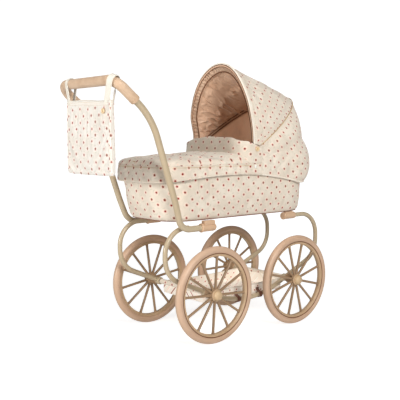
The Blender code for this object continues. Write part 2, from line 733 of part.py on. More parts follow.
def add_back_panel():
    """The cloth from the middle bow down to the hem: it bulges over the bassinet's head end."""
    top = on_bow_plane(arch_points(*MID_ARCH, 18), MID_BOW_ANGLE, -0.0010)
    hem = hem_points(len(top))
    rings = []
    for step in range(7):
        down = step / 6.0
        bulge = HOOD_BULGE * math.sin(math.pi * down ** 2.2)
        spread = 1.0 - (1.0 - down) ** 1.8
        ring = []
        for upper, lower in zip(top, hem):
            towards_head = max((lower.x - HOOD_SIDE_END_X) / (HOOD_HEM_HEAD_X - HOOD_SIDE_END_X), 0.0)
            outward = Vector((lower.x - HOOD_SIDE_END_X, lower.y)).normalized()
            plan = upper.xy.lerp(lower, spread) + outward * bulge * (0.1 + 0.9 * towards_head)
            height = upper.z + (skirt_z(lower.x) - upper.z) * down
            ring.append((plan.x, plan.y, height))
        rings.append(ring)
    mesh = mesh_from_bmesh("hood_back_panel", loft(rings, False, False, ring_is_closed=False))
    panel = smooth(link_part("hood_back_panel", mesh, PRINTED_COTTON))
    add_solidify(panel, CLOTH, solidify_side(mesh))


def solidify_side(mesh, origin=Vector((0.0, 0.0, 0.0))):
    """-1 thickens against the face normals: the value that puts the cloth inside the surface."""
    centre = Vector(HOOD_MIDDLE) - origin
    outward = 0.0
    for face in mesh.polygons:
        outward += face.area * face.normal.dot((face.center - centre).normalized())
    return -1.0 if outward > 0.0 else 1.0


def add_pivot(name, side):
    """The plate inside the bassinet's rim, with the headed pin that both bows turn on."""
    plate_y = 0.0985
    low = (PIVOT_X - 0.008, side * plate_y - 0.0010, 0.3850)
    high = (PIVOT_X + 0.008, side * plate_y + 0.0010, 0.4450)
    plate = link_part(name + "_hood_pivot", box_mesh(name, low, high), BARE_STEEL)
    add_bevel(plate, 0.0006, 1)
    profile = [(0.0021, 0.0005), (0.0021, -0.0105), (0.0045, -0.0105), (0.0045, -0.0123)]
    profile = [(0.0, 0.0005)] + profile + [(0.0, -0.0123)]
    pin = turned("pin", profile, False, 12, None, CUTTERS)
    pin.hide_render = True
    pin.display_type = "WIRE"
    face_outboard(pin, side, (PIVOT_X, side * plate_y, PIVOT_Z))
    add_boolean(plate, pin, "UNION")
    smooth(finished(plate))


# ------------------------------------------------------------------------------------------- basket
def add_basket():
    """A cloth tray: its end walls are sewn round the two axles."""
    inset = AXLE_RADIUS + 0.0008
    levels = ((BASKET_FLOOR_Z, 0.0040), (BASKET_FLOOR_Z + 0.0030, 0.0010), (BASKET_RIM_Z, 0.0))
    rows = []
    for height, narrow in levels:
        plan = plan_ring(inset + narrow, WHEELBASE - inset - narrow, BASKET_HALF - narrow,
                         BASKET_CORNER_RADIUS, BASKET_CORNER_RADIUS, 2, 4)
        rows.append([(point.x, point.y, height) for point in plan])
    mesh = mesh_from_bmesh("basket", loft(rows, True, False))
    basket = smooth(link_part("basket", mesh, PRINTED_COTTON))
    add_solidify(basket, CLOTH)
    for end, station in AXLES:
        profile = ring_profile(AXLE_RADIUS + 2.0 * GAP, AXLE_RADIUS + 0.0022, -0.070, 0.070)
        tunnel = turned(end + "_tunnel", profile, True, 12, None, CUTTERS)
        tunnel.hide_render = True
        tunnel.display_type = "WIRE"
        face_outboard(tunnel, 1.0, (station, 0.0, WHEEL_RADIUS))
        add_boolean(basket, tunnel, "UNION")
    smooth(finished(basket))


def add_basket_tab(name, side, station):
    """A webbing loop round the rail."""
    inner = SIDE_TUBE_RADIUS + 2.0 * GAP
    profile = ring_profile(inner, inner + 0.0012, -0.0060, 0.0060)
    tab = turned(name, profile, True, 12, DARK_WEBBING)
    offset = station - WHEELBASE / 2.0
    tab.rotation_euler = (0.0, math.pi / 2.0 - offset / RAIL_BEND, 0.0)
    tab.location = (station, side * SIDE_TUBE_Y, RAIL_DIP_Z + offset ** 2 / (2.0 * RAIL_BEND))


# ---------------------------------------------------------------------------------------------- bag
def hang_from_bar(part, x=0.0, y=0.0, z=0.0):
    """Put a piece of the bag on the bar's centre line, where the whole bag swings."""
    part.parent = BAG_SWING
    part.location = (x, y, z)
    return part


def add_bag():
    """A flat cloth pocket, open along the top, with a button on its outer face."""
    half = BAG_THICKNESS / 2.0
    mesh = box_mesh("bag", (-half, BAG_CENTRE_Y - BAG_HALF_WIDTH, BAG_LOW_Z - HANDLE_BAR[1]),
                    (half, BAG_CENTRE_Y + BAG_HALF_WIDTH, BAG_TOP_Z - HANDLE_BAR[1]))
    shape = bmesh.new()
    shape.from_mesh(mesh)
    top = [face for face in shape.faces if face.normal.z > 0.5]
    bmesh.ops.delete(shape, geom=top, context="FACES")
    shape.to_mesh(mesh)
    shape.free()
    bag = hang_from_bar(link_part("bag", mesh, PRINTED_COTTON))
    add_bevel(bag, 0.0035)
    add_solidify(bag, 0.0012)
    profile = [(0.0, 0.0025), (0.0040, 0.0025), (0.0055, 0.0012), (0.0055, 0.0), (0.0, 0.0)]
    button = turned("bag_button", profile, False, 14, BUTTON_WOOD)
    button.rotation_euler = (0.0, -math.pi / 2.0, 0.0)
    hang_from_bar(button, -half - GAP, BAG_CENTRE_Y - 0.068, BAG_TOP_Z - 0.020 - HANDLE_BAR[1])


def add_bag_strap(name, side):
    """A webbing loop over the grip, with both ends meeting the bag's mouth."""
    radius = GRIP_RADIUS + GAP + STRAP_THICKNESS / 2.0
    reach = BAG_THICKNESS / 2.0 - STRAP_THICKNESS / 2.0
    foot = BAG_TOP_Z + GAP - HANDLE_BAR[1]
    half_loop = [(-reach, foot)]
    for step in range(13):
        angle = math.radians(195.0 - 210.0 * step / 12.0)
        half_loop.append((radius * math.cos(angle), radius * math.sin(angle)))
    half_loop.append((reach, foot))
    y = BAG_CENTRE_Y + side * STRAP_SPREAD
    rows = [[(px, y - STRAP_WIDTH / 2.0, pz) for px, pz in half_loop],
            [(px, y + STRAP_WIDTH / 2.0, pz) for px, pz in half_loop]]
    mesh = mesh_from_bmesh(name, loft(rows, False, False, ring_is_closed=False))
    strap = hang_from_bar(smooth(link_part(name, mesh, WEBBING), 60.0))
    add_solidify(strap, STRAP_THICKNESS, 0.0)


# --------------------------------------------------------------------------------------------- build
def build():
    mesh = wheel_mesh()
    for end, station in AXLES:
        add_axle(end, station)
        for label, side in SIDES:
            add_wheel(end + "_" + label, side, station, mesh)
    for label, side in SIDES:
        add_side_tube(label, side)
        add_rear_sleeve(label, side)
        add_front_sleeve(label, side)
        add_pivot(label, side)
        add_fastener(label + "_flap_button", side, 0.0060, 0.0025, FLAP_HALF, 0.137, 0.434,
                     BUTTON_WOOD)
        add_fastener(label + "_apron_snap", side, 0.0035, 0.0015, APRON_HALF, 0.132, 0.3930,
                     SNAP_PLASTIC)
        add_bag_strap(label + "_bag_strap", side)
        for place, station in TAB_STATIONS:
            add_basket_tab(label + "_" + place + "_basket_tab", side, station)
    add_handle()
    add_bassinet()
    add_apron()
    add_wind_flap()
    add_bow("hood_front_bow", FRONT_ARCH[0] - 0.0095, 0.1035, 0.0905, FRONT_BOW_ANGLE)
    add_bow("hood_middle_bow", MID_ARCH[0] - 0.0055, 0.1060, 0.0952, MID_BOW_ANGLE)
    add_front_panel()
    add_back_panel()
    add_basket()
    add_bag()


build()
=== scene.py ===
"""The look of the doll stroller: sewn cotton, satin lining, painted tube, moulded wheels and a leather grip.

Lengths are in metres in the row frame. Stations along X are measured from the rear axle, as in the model.
"""
import math

import bmesh
import bpy
from mathutils import Matrix, Vector, noise


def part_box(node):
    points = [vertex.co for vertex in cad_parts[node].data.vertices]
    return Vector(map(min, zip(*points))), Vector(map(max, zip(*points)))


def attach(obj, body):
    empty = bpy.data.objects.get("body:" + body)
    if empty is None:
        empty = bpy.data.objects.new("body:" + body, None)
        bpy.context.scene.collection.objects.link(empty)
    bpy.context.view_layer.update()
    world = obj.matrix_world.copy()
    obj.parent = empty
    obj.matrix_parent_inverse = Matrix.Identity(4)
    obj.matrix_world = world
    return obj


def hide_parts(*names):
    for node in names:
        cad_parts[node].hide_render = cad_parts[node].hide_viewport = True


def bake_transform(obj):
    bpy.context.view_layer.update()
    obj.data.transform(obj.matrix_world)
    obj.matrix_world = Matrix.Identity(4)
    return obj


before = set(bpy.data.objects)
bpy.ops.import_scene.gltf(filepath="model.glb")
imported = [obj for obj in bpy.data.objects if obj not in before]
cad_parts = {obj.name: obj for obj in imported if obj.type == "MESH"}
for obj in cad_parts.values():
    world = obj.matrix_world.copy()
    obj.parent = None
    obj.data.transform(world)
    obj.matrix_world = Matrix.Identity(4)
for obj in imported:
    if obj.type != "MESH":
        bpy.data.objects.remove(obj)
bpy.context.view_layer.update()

AXLE_LOW, AXLE_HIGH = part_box("rear_axle")
ORIGIN_X = (AXLE_LOW[0] + AXLE_HIGH[0]) / 2.0
SIDES = (("right", -1.0), ("left", 1.0))
WHEELBASE = 0.263
AXLES = (("rear", 0.0), ("front", WHEELBASE))
WHEEL_CENTRE_Z = 0.110
WHEEL_PLANE_Y = 0.122
SIDE_TUBE_Y = 0.088

BASE_Z = 0.277
RIM_Z = 0.3985
REAR_CORNER = 0.065
HEAD_CORNER = 0.080

APRON_REAR_X = -0.1275
APRON_HALF = 0.1120
APRON_SEAM_Z = 0.400
APRON_END_X = 0.152
CLOTH_END_X = 0.1552
FLAP_X = 0.090
FLAP_HALF = 0.1140
FLAP_CORNER = 0.032

PIVOT = (0.140, 0.434)
FRONT_ANGLE = math.radians(93.0)
MID_ANGLE = math.radians(33.0)
ARCH_LEG = 0.036

HANDLE_BAR = (-0.248, 0.573)
BAG_CENTRE_Y = -0.010
SURROUND = 0.19
FLOOR_BOUNCE = 0.26
DOT_PITCH = 0.0305
ROW_PITCH = 0.0268


def at(x, y, z):
    """A point in the row frame from a station, a side offset and a height."""
    return Vector((x + ORIGIN_X, y, z))


def ease(value, low=0.0, high=1.0):
    """A smooth step from 0 to 1 as value goes from low to high."""
    t = min(max((value - low) / (high - low), 0.0), 1.0)
    return t * t * (3.0 - 2.0 * t)


def ripple(x, y, z, seed=0.0):
    return noise.noise(Vector((x + seed, y + 1.7 * seed, z - seed)))


# ------------------------------------------------------------------------------------ node materials
class Nodes:
    """A small helper that adds and joins a material's nodes."""

    def __init__(self, name):
        self.material = bpy.data.materials.new(name)
        self.material.use_nodes = True
        self.tree = self.material.node_tree
        self.shader = self.tree.nodes["Principled BSDF"]

    def add(self, kind, **values):
        node = self.tree.nodes.new(kind)
        for key, value in values.items():
            setattr(node, key, value)
        return node

    def feed(self, target, value):
        if isinstance(value, bpy.types.NodeSocket):
            self.tree.links.new(value, target)
        else:
            target.default_value = value

    def maths(self, operation, a, b=0.0, c=0.0, clamp=False):
        node = self.add("ShaderNodeMath", operation=operation, use_clamp=clamp)
        for target, value in zip(node.inputs, (a, b, c)):
            self.feed(target, value)
        return node.outputs[0]

    def vector(self, operation, a, b=(0.0, 0.0, 0.0)):
        node = self.add("ShaderNodeVectorMath", operation=operation)
        self.feed(node.inputs[0], a)
        self.feed(node.inputs[1], b)
        if operation in ("LENGTH", "DOT_PRODUCT"):
            return node.outputs["Value"]
        return node.outputs["Vector"]

    def mix(self, factor, a, b, blend="MIX"):
        node = self.add("ShaderNodeMix", data_type="RGBA", blend_type=blend)
        self.feed(node.inputs[0], factor)
        self.feed(node.inputs[6], a)
        self.feed(node.inputs[7], b)
        return node.outputs[2]

    def span(self, value, from_low, from_high, to_low=0.0, to_high=1.0, kind="SMOOTHSTEP"):
        node = self.add("ShaderNodeMapRange", interpolation_type=kind)
        for target, item in zip(node.inputs, (value, from_low, from_high, to_low, to_high)):
            self.feed(target, item)
        return node.outputs[0]

    def noise(self, where, scale, detail=3.0, roughness=0.55):
        node = self.add("ShaderNodeTexNoise")
        self.feed(node.inputs["Vector"], where)
        self.feed(node.inputs["Scale"], scale)
        self.feed(node.inputs["Detail"], detail)
        self.feed(node.inputs["Roughness"], roughness)
        return node.outputs["Fac"]

    def uv(self):
        return self.add("ShaderNodeUVMap", uv_map="UVMap").outputs[0]

    def place(self):
        return self.add("ShaderNodeTexCoord").outputs["Object"]

    def bump(self, height, distance, strength=1.0, below=None):
        node = self.add("ShaderNodeBump")
        self.feed(node.inputs["Height"], height)
        node.inputs["Distance"].default_value = distance
        node.inputs["Strength"].default_value = strength
        if below is not None:
            self.feed(node.inputs["Normal"], below)
        return node.outputs[0]

    def finish(self, colour, roughness, normal=None, **constants):
        self.feed(self.shader.inputs["Base Color"], colour)
        self.feed(self.shader.inputs["Roughness"], roughness)
        if normal is not None:
            self.feed(self.shader.inputs["Normal"], normal)
        for key, value in constants.items():
            self.shader.inputs[key.replace("_", " ")].default_value = value
        return self.material


def rgb(red, green, blue):
    """A screen colour, 0 to 255, as a linear node colour."""
    out = []
    for value in (red, green, blue):
        value = value / 255.0
        out.append(value / 12.92 if value <= 0.04045 else ((value + 0.055) / 1.055) ** 2.4)
    return (*out, 1.0)


def weave(n, uv, pitch=0.0007):
    """Crossed threads as a height, and the same as a shade."""
    split = n.add("ShaderNodeSeparateXYZ")
    n.feed(split.inputs[0], uv)
    warp = n.maths("SINE", n.maths("MULTIPLY", split.outputs[0], 2.0 * math.pi / pitch))
    weft = n.maths("SINE", n.maths("MULTIPLY", split.outputs[1], 2.0 * math.pi / pitch))
    return n.maths("MULTIPLY", warp, weft)


def printed_cotton(name, base, warm, dots=1.0, glow=0.0):
    """Cream cotton printed with a staggered lattice of tiny rust sprigs. Glow is painted light: an emission in the
    cloth's own colour that brightens it where it lies in shade.
    """
    n = Nodes(name)
    uv = n.uv()
    drift = n.noise(uv, 22.0, 2.0)
    scaled = n.vector("DIVIDE", uv, (DOT_PITCH, ROW_PITCH, 1.0))
    best = None
    for offset in (0.0, 0.5):
        moved = n.vector("ADD", scaled, (0.5 + offset, 0.5 + offset, 0.0))
        cell = n.vector("FLOOR", moved)
        key = n.vector("ADD", cell, (offset * 37.0, offset * 11.0, 3.0))
        chance = n.add("ShaderNodeTexWhiteNoise", noise_dimensions="3D")
        n.feed(chance.inputs["Vector"], key)
        jitter = n.vector("MULTIPLY", n.vector("SUBTRACT", chance.outputs["Color"], (0.5, 0.5, 0.5)),
                          (0.14, 0.12, 0.0))
        local = n.vector("SUBTRACT", n.vector("SUBTRACT", n.vector("SUBTRACT", moved, cell),
                                              (0.5, 0.5, 0.0)), jitter)
        metres = n.vector("MULTIPLY", local, (DOT_PITCH, ROW_PITCH, 0.0))
        reach = n.vector("LENGTH", metres)
        split = n.add("ShaderNodeSeparateXYZ")
        n.feed(split.inputs[0], metres)
        angle = n.maths("ARCTAN2", split.outputs[1], split.outputs[0])
        turn = n.maths("MULTIPLY", chance.outputs["Value"], 6.28)
        petal = n.maths("COSINE", n.maths("MULTIPLY_ADD", angle, 5.0, turn))
        leaf = n.maths("COSINE", n.maths("MULTIPLY_ADD", angle, 2.0, n.maths("MULTIPLY", turn, 3.0)))
        item = {"reach": reach, "petal": petal, "leaf": leaf, "chance": chance.outputs["Value"]}
        if best is None:
            best = item
        else:
            nearer = n.maths("LESS_THAN", reach, best["reach"])
            for key_name in item:
                node = n.add("ShaderNodeMix", data_type="FLOAT")
                n.feed(node.inputs[0], nearer)
                n.feed(node.inputs[2], best[key_name])
                n.feed(node.inputs[3], item[key_name])
                item[key_name] = node.outputs[0]
            best = item
    size = n.maths("MULTIPLY_ADD", best["petal"], 0.00022, 0.00238)
    size = n.maths("ADD", size, n.maths("MULTIPLY", n.maths("SUBTRACT", best["chance"], 0.5), 0.0006))
    core = n.span(n.maths("SUBTRACT", best["reach"], size), 0.0003, -0.0004)
    ring = n.maths("MULTIPLY", n.span(best["reach"], 0.0058, 0.0034),
                   n.span(best["reach"], 0.0016, 0.0024))
    ring = n.maths("MULTIPLY", ring, n.maths("MULTIPLY_ADD", best["petal"], 0.26, 0.48))
    leaves = n.maths("MULTIPLY", n.span(best["reach"], 0.0098, 0.0078),
                     n.span(best["reach"], 0.0052, 0.0066))
    leaves = n.maths("MULTIPLY", leaves, n.span(best["leaf"], 0.20, 0.95, 0.12, 0.55))
    net = n.maths("MULTIPLY", n.span(best["reach"], 0.0056, 0.0076), n.span(drift, 0.25, 0.75, 0.13, 0.34))
    leaves = n.maths("MAXIMUM", leaves, net)
    cloth = n.mix(n.span(drift, 0.34, 0.66), base, warm)
    fibre = n.noise(n.vector("MULTIPLY", uv, (1.0, 0.25, 1.0)), 1500.0, 2.0)
    cloth = n.mix(n.maths("MULTIPLY", fibre, 0.10), cloth, rgb(208, 192, 168))
    colour = n.mix(n.maths("MULTIPLY", leaves, dots), cloth, rgb(202, 193, 171))
    colour = n.mix(n.maths("MULTIPLY", ring, dots), colour, rgb(242, 198, 176))
    rust = n.mix(n.span(best["chance"], 0.35, 0.95), rgb(148, 38, 30), rgb(134, 66, 44))
    colour = n.mix(n.maths("MULTIPLY", core, dots), colour, rust)
    threads = n.bump(weave(n, uv), 0.00010, 0.55)
    soft = n.bump(n.noise(uv, 120.0, 4.0), 0.0011, 0.35, threads)
    creases = n.noise(n.vector("MULTIPLY", uv, (1.0, 2.2, 1.0)), 38.0, 3.0, 0.5)
    soft = n.bump(creases, 0.0030, 0.30, soft)
    # Glow is painted light: the cloth gives off its own colour, so it reads brighter than its lamps make it.
    if glow:
        n.feed(n.shader.inputs["Emission Color"], colour)
    return n.finish(colour, 0.88, soft, Sheen_Weight=0.25, Sheen_Roughness=0.5,
                    Specular_IOR_Level=0.25, Emission_Strength=glow)


def satin_lining(name, base, deep, glow=0.0):
    """Tan lining with a soft sheen and fine pulled creases. Glow is painted light: an emission in the deep colour that
    brightens the lining where it lies in shade.
    """
    n = Nodes(name)
    uv = n.uv()
    tone = n.noise(n.vector("MULTIPLY", uv, (1.0, 0.4, 1.0)), 26.0, 3.0)
    colour = n.mix(n.span(tone, 0.3, 0.7), base, deep)
    fibre = n.noise(n.vector("MULTIPLY", uv, (1.0, 0.12, 1.0)), 1400.0, 2.0)
    colour = n.mix(n.maths("MULTIPLY", fibre, 0.14), colour, rgb(228, 190, 158))
    threads = n.bump(weave(n, uv, 0.0005), 0.00006, 0.5)
    creases = n.noise(n.vector("MULTIPLY", uv, (2.6, 0.7, 1.0)), 60.0, 4.0, 0.55)
    normal = n.bump(creases, 0.0022, 0.40, threads)
    rough = n.span(tone, 0.2, 0.8, 0.42, 0.58)
    # Emission in the deep colour at strength glow is painted light.
    return n.finish(colour, rough, normal, Sheen_Weight=0.35, Sheen_Roughness=0.35, Emission_Color=deep,
                    Emission_Strength=glow)


def webbing(name, base, dark):
    """Woven strap: ribs across, with painted shade in the gaps between the yarns."""
    n = Nodes(name)
    uv = n.uv()
    split = n.add("ShaderNodeSeparateXYZ")
    n.feed(split.inputs[0], uv)
    ribs = n.maths("SINE", n.maths("MULTIPLY", split.outputs[0], 2.0 * math.pi / 0.0012))
    twill = n.maths("SINE", n.maths("MULTIPLY", n.maths("ADD", split.outputs[0], split.outputs[1]),
                                    2.0 * math.pi / 0.0016))
    height = n.maths("MULTIPLY_ADD", twill, 0.5, ribs)
    # Darker where the ribs are low: painted shade in the gaps between the yarns.
    colour = n.mix(n.span(height, -1.2, 0.2, 0.55, 0.0), base, dark)
    speck = n.noise(uv, 700.0, 2.0)
    colour = n.mix(n.maths("MULTIPLY", speck, 0.15), colour, dark)
    return n.finish(colour, 0.85, n.bump(height, 0.00016, 0.8), Sheen_Weight=0.2)


def thread(name, base):
    n = Nodes(name)
    twist = n.noise(n.place(), 2600.0, 2.0)
    return n.finish(n.mix(n.maths("MULTIPLY", twist, 0.3), base, rgb(120, 84, 52)), 0.7,
                    n.bump(twist, 0.0002, 0.5))


def painted_tube(name, base, light):
    """Semi-gloss paint with slight orange peel and handling marks."""
    n = Nodes(name)
    where = n.place()
    cloud = n.noise(where, 14.0, 3.0)
    colour = n.mix(n.span(cloud, 0.35, 0.7), base, light)
    scuff = n.span(n.noise(n.vector("MULTIPLY", where, (1.0, 1.0, 0.25)), 420.0, 5.0, 0.7), 0.66, 0.78)
    colour = n.mix(n.maths("MULTIPLY", scuff, 0.22), colour, rgb(226, 214, 190))
    peel = n.bump(n.noise(where, 900.0, 2.0), 0.00012, 0.30)
    rough = n.maths("ADD", n.span(cloud, 0.3, 0.7, 0.30, 0.40), n.maths("MULTIPLY", scuff, 0.12))
    return n.finish(colour, rough, peel, Coat_Weight=0.25, Coat_Roughness=0.22)


def moulded_plastic(name, base, light, rough=0.38, grain=0.0001):
    """Satin moulded plastic: flow marks, slight mottling and dark specks."""
    n = Nodes(name)
    where = n.place()
    cloud = n.noise(where, 18.0, 4.0)
    colour = n.mix(n.span(cloud, 0.32, 0.68), base, light)
    speck = n.span(n.noise(where, 1300.0, 2.0), 0.62, 0.75, 0.0, 0.18)
    colour = n.mix(speck, colour, rgb(150, 112, 84))
    skin = n.bump(n.noise(where, 1100.0, 3.0), grain, 0.35)
    flow = n.bump(n.noise(where, 70.0, 2.0), 0.0005, 0.12, skin)
    return n.finish(colour, n.span(cloud, 0.3, 0.7, rough - 0.05, rough + 0.07), flow,
                    Coat_Weight=0.10, Coat_Roughness=0.30)


def leather(name, base, deep):
    n = Nodes(name)
    where = n.place()
    cells = n.add("ShaderNodeTexVoronoi", feature="DISTANCE_TO_EDGE")
    n.feed(cells.inputs["Vector"], where)
    cells.inputs["Scale"].default_value = 1400.0
    grain = n.span(cells.outputs["Distance"], 0.0, 0.10)
    cloud = n.noise(where, 26.0, 4.0)
    colour = n.mix(n.span(cloud, 0.3, 0.72), base, deep)
    colour = n.mix(n.maths("MULTIPLY", n.maths("SUBTRACT", 1.0, grain), 0.16), colour, deep)
    skin = n.bump(grain, 0.00012, 0.5)
    fold = n.bump(n.noise(n.vector("MULTIPLY", where, (1.0, 1.8, 1.0)), 95.0, 4.0), 0.0012, 0.30, skin)
    return n.finish(colour, n.span(cloud, 0.3, 0.7, 0.40, 0.52), fold, Coat_Weight=0.12,
                    Coat_Roughness=0.35, Sheen_Weight=0.08)


def turned_wood(name, base, dark):
    n = Nodes(name)
    where = n.place()
    rings = n.noise(n.vector("MULTIPLY", where, (1.0, 1.0, 0.12)), 900.0, 4.0, 0.65)
    colour = n.mix(n.span(rings, 0.35, 0.68), base, dark)
    return n.finish(colour, 0.52, n.bump(rings, 0.0001, 0.4))


def plated_steel(name):
    n = Nodes(name)
    where = n.place()
    brush = n.noise(n.vector("MULTIPLY", where, (0.1, 1.0, 1.0)), 1500.0, 3.0)
    spot = n.noise(where, 60.0, 4.0)
    colour = n.mix(n.span(spot, 0.4, 0.7), rgb(202, 200, 196), rgb(176, 170, 160))
    return n.finish(colour, n.span(brush, 0.3, 0.7, 0.24, 0.40), n.bump(brush, 0.00005, 0.4),
                    Metallic=1.0)


def pale_floor(name):
    """A pale floor that brightens away from the middle, like a lit studio sweep."""
    n = Nodes(name)
    where = n.place()
    tone = n.noise(where, 1.5, 2.0)
    colour = n.mix(tone, (0.60, 0.60, 0.605, 1.0), (0.62, 0.62, 0.62, 1.0))
    seen = n.add("ShaderNodeLightPath").outputs["Is Camera Ray"]
    glow = n.maths("MULTIPLY", n.span(n.vector("LENGTH", where), 0.5, 2.3, 0.74, 1.0),
                   n.span(seen, 0.0, 1.0, FLOOR_BOUNCE, 1.0))
    n.feed(n.shader.inputs["Emission Strength"], glow)
    return n.finish(colour, 0.8, Emission_Color=(1.0, 1.0, 1.0, 1.0))




COTTON = printed_cotton("dotted_cotton", rgb(243, 232, 217), rgb(238, 223, 207))
COTTON_WHITE = printed_cotton("dotted_cotton_pale", rgb(248, 244, 238), rgb(247, 240, 232), 0.95)
PLAIN_WHITE = printed_cotton("plain_cotton_pale", rgb(246, 241, 233), rgb(244, 236, 226), 0.0)
HEM = printed_cotton("plain_cotton_hem", rgb(246, 238, 224), rgb(242, 229, 212), 0.0)
LINING = satin_lining("tan_satin_lining", rgb(232, 195, 166), rgb(218, 177, 146))
# A paler, glowing copy of the lining for the hood's back: painted light that lifts the shade under the middle bow.
LINING_PAINTED_BRIGHT = satin_lining("tan_satin_lining_painted_bright", rgb(248, 210, 180), rgb(238, 196, 164), 0.11)
# Basket cloth: a paler copy of the print that glows. This is painted light that brightens the shaded tray.
COTTON_TRAY_PAINTED_GLOW = printed_cotton("dotted_cotton_tray_painted_glow", rgb(250, 243, 233), rgb(248, 237, 225), 1.0, 0.16)
SHIRRED = satin_lining("shirred_satin", rgb(206, 174, 147), rgb(178, 143, 116))
# Brown thread for the hood's pipings. It is also used as painted shade in the wheels' tyre-rim gap, the hood's hem gap
# and beside the bow channel.
PIPING_AND_SHADE_BROWN = thread("brown_piping_and_shade", rgb(122, 78, 50))
PIPING_GOLD = thread("golden_piping", rgb(212, 184, 140))
STITCHES = thread("cream_stitching", rgb(226, 208, 178))
WEBBING = webbing("cream_webbing_strap", rgb(248, 243, 232), rgb(214, 202, 180))
# Rust webbing for the basket tabs. It is also used as painted shade in the ring under the bassinet's base edge.
TAB_WEBBING_AND_EDGE_SHADE = webbing("rust_webbing_and_edge_shade", rgb(150, 102, 80), rgb(104, 66, 50))
PAINT = painted_tube("khaki_paint", rgb(186, 167, 137), rgb(196, 179, 150))
# One moulded plastic in two copies: the darker one on spokes and hub is painted shade, and the paler rim copy is its
# lit colour.
WHEEL_PAINTED_SHADE = moulded_plastic("tan_wheel_plastic_painted_shade", rgb(154, 124, 94), rgb(166, 136, 105))
WHEEL_RIM = moulded_plastic("tan_rim_plastic", rgb(192, 161, 126), rgb(202, 172, 138))
TYRE = moulded_plastic("tan_tyre", rgb(200, 166, 138), rgb(207, 174, 147), 0.42, 0.00015)
SLEEVE = moulded_plastic("sleeve_plastic", rgb(212, 174, 140), rgb(218, 184, 152))
CAP = moulded_plastic("beige_gold_cap", rgb(196, 166, 128), rgb(204, 176, 138), 0.28, 0.00005)
LEATHER = leather("peach_leather", rgb(220, 190, 160), rgb(204, 170, 138))
WOOD = turned_wood("button_wood", rgb(238, 212, 172), rgb(222, 190, 144))
BOARD = turned_wood("base_fibreboard", rgb(172, 138, 104), rgb(150, 116, 86))
STEEL = plated_steel("plated_steel")
SNAP = moulded_plastic("white_snap", rgb(244, 242, 236), rgb(250, 248, 244), 0.25, 0.00002)


# ----------------------------------------------------------------------------------------- mesh tools
def running(points):
    """Distances along a run of points."""
    out = [0.0]
    for a, b in zip(points, points[1:]):
        out.append(out[-1] + (b - a).length)
    return out


def resample(points, count, closed=False):
    """Points at equal steps along a run."""
    run = list(points) + ([points[0]] if closed else [])
    lengths = running(run)
    out = []
    index = 0
    for step in range(count):
        target = lengths[-1] * step / (count if closed else count - 1)
        while index < len(run) - 2 and lengths[index + 1] < target:
            index += 1
        gap = lengths[index + 1] - lengths[index]
        out.append(run[index].lerp(run[index + 1], min((target - lengths[index]) / max(gap, 1e-9), 1.0)))
    return out


def grid(name, rows, uv_rows=None, closed=False, flip=False):
    """A mesh between rows of points. Its UVs are metres along and across the cloth."""
    count = len(rows[0])
    if uv_rows is None:
        along = [running(list(row) + ([row[0]] if closed else [])) for row in rows]
        columns = [running([row[i % count] for row in rows]) for i in range(count + 1)]
        middle = count // 2
        uv_rows = [[(along[j][i] - along[j][middle], columns[i][j]) for i in range(count + int(closed))]
                   for j in range(len(rows))]
    faces = []
    loops = []
    for j in range(len(rows) - 1):
        for i in range(count if closed else count - 1):
            k = (i + 1) % count
            quad = [j * count + i, j * count + k, (j + 1) * count + k, (j + 1) * count + i]
            uvs = [uv_rows[j][i], uv_rows[j][i + 1], uv_rows[j + 1][i + 1], uv_rows[j + 1][i]]
            if flip:
                quad.reverse()
                uvs.reverse()
            faces.append(quad)
            loops += uvs
    mesh = bpy.data.meshes.new(name)
    mesh.from_pydata([tuple(point) for row in rows for point in row], [], faces)
    layer = mesh.uv_layers.new(name="UVMap")
    for data, uv in zip(layer.data, loops):
        data.uv = uv
    return mesh


def joined(name, meshes):
    """Several meshes in one, with coincident points welded."""
    shape = bmesh.new()
    for mesh in meshes:
        shape.from_mesh(mesh)
        bpy.data.meshes.remove(mesh)
    bmesh.ops.remove_doubles(shape, verts=shape.verts, dist=0.00002)
    loose = [face for face in shape.faces if face.calc_area() < 1e-12]
    bmesh.ops.delete(shape, geom=loose, context="FACES")
    mesh = bpy.data.meshes.new(name)
    shape.to_mesh(mesh)
    shape.free()
    return mesh


def frames_along(points, side=None):
    """Side and up vectors that turn as little as possible along a run."""
    tangents = []
    for i in range(len(points)):
        ahead = points[min(i + 1, len(points) - 1)] - points[max(i - 1, 0)]
        tangents.append(ahead.normalized())
    if side is None:
        start = Vector((0.0, 1.0, 0.0))
        if abs(tangents[0].dot(start)) > 0.9:
            start = Vector((0.0, 0.0, 1.0))
        vector = (start - tangents[0] * start.dot(tangents[0])).normalized()
    out = []
    for tangent in tangents:
        if side is not None:
            vector = Vector(side)
        vector = (vector - tangent * vector.dot(tangent)).normalized()
        out.append((vector, tangent.cross(vector)))
    return out


def circle(radius, sides=20):
    return [(radius * math.cos(2.0 * math.pi * k / sides), radius * math.sin(2.0 * math.pi * k / sides))
            for k in range(sides)]


def band(width, thickness):
    """A flat section with rounded edges."""
    w = width / 2.0
    t = thickness / 2.0
    return [(w, -t * 0.5), (w, t * 0.5), (w - t, t), (w / 3.0, t), (-w / 3.0, t), (t - w, t),
            (-w, t * 0.5), (-w, -t * 0.5), (t - w, -t), (-w / 3.0, -t), (w / 3.0, -t), (w - t, -t)]


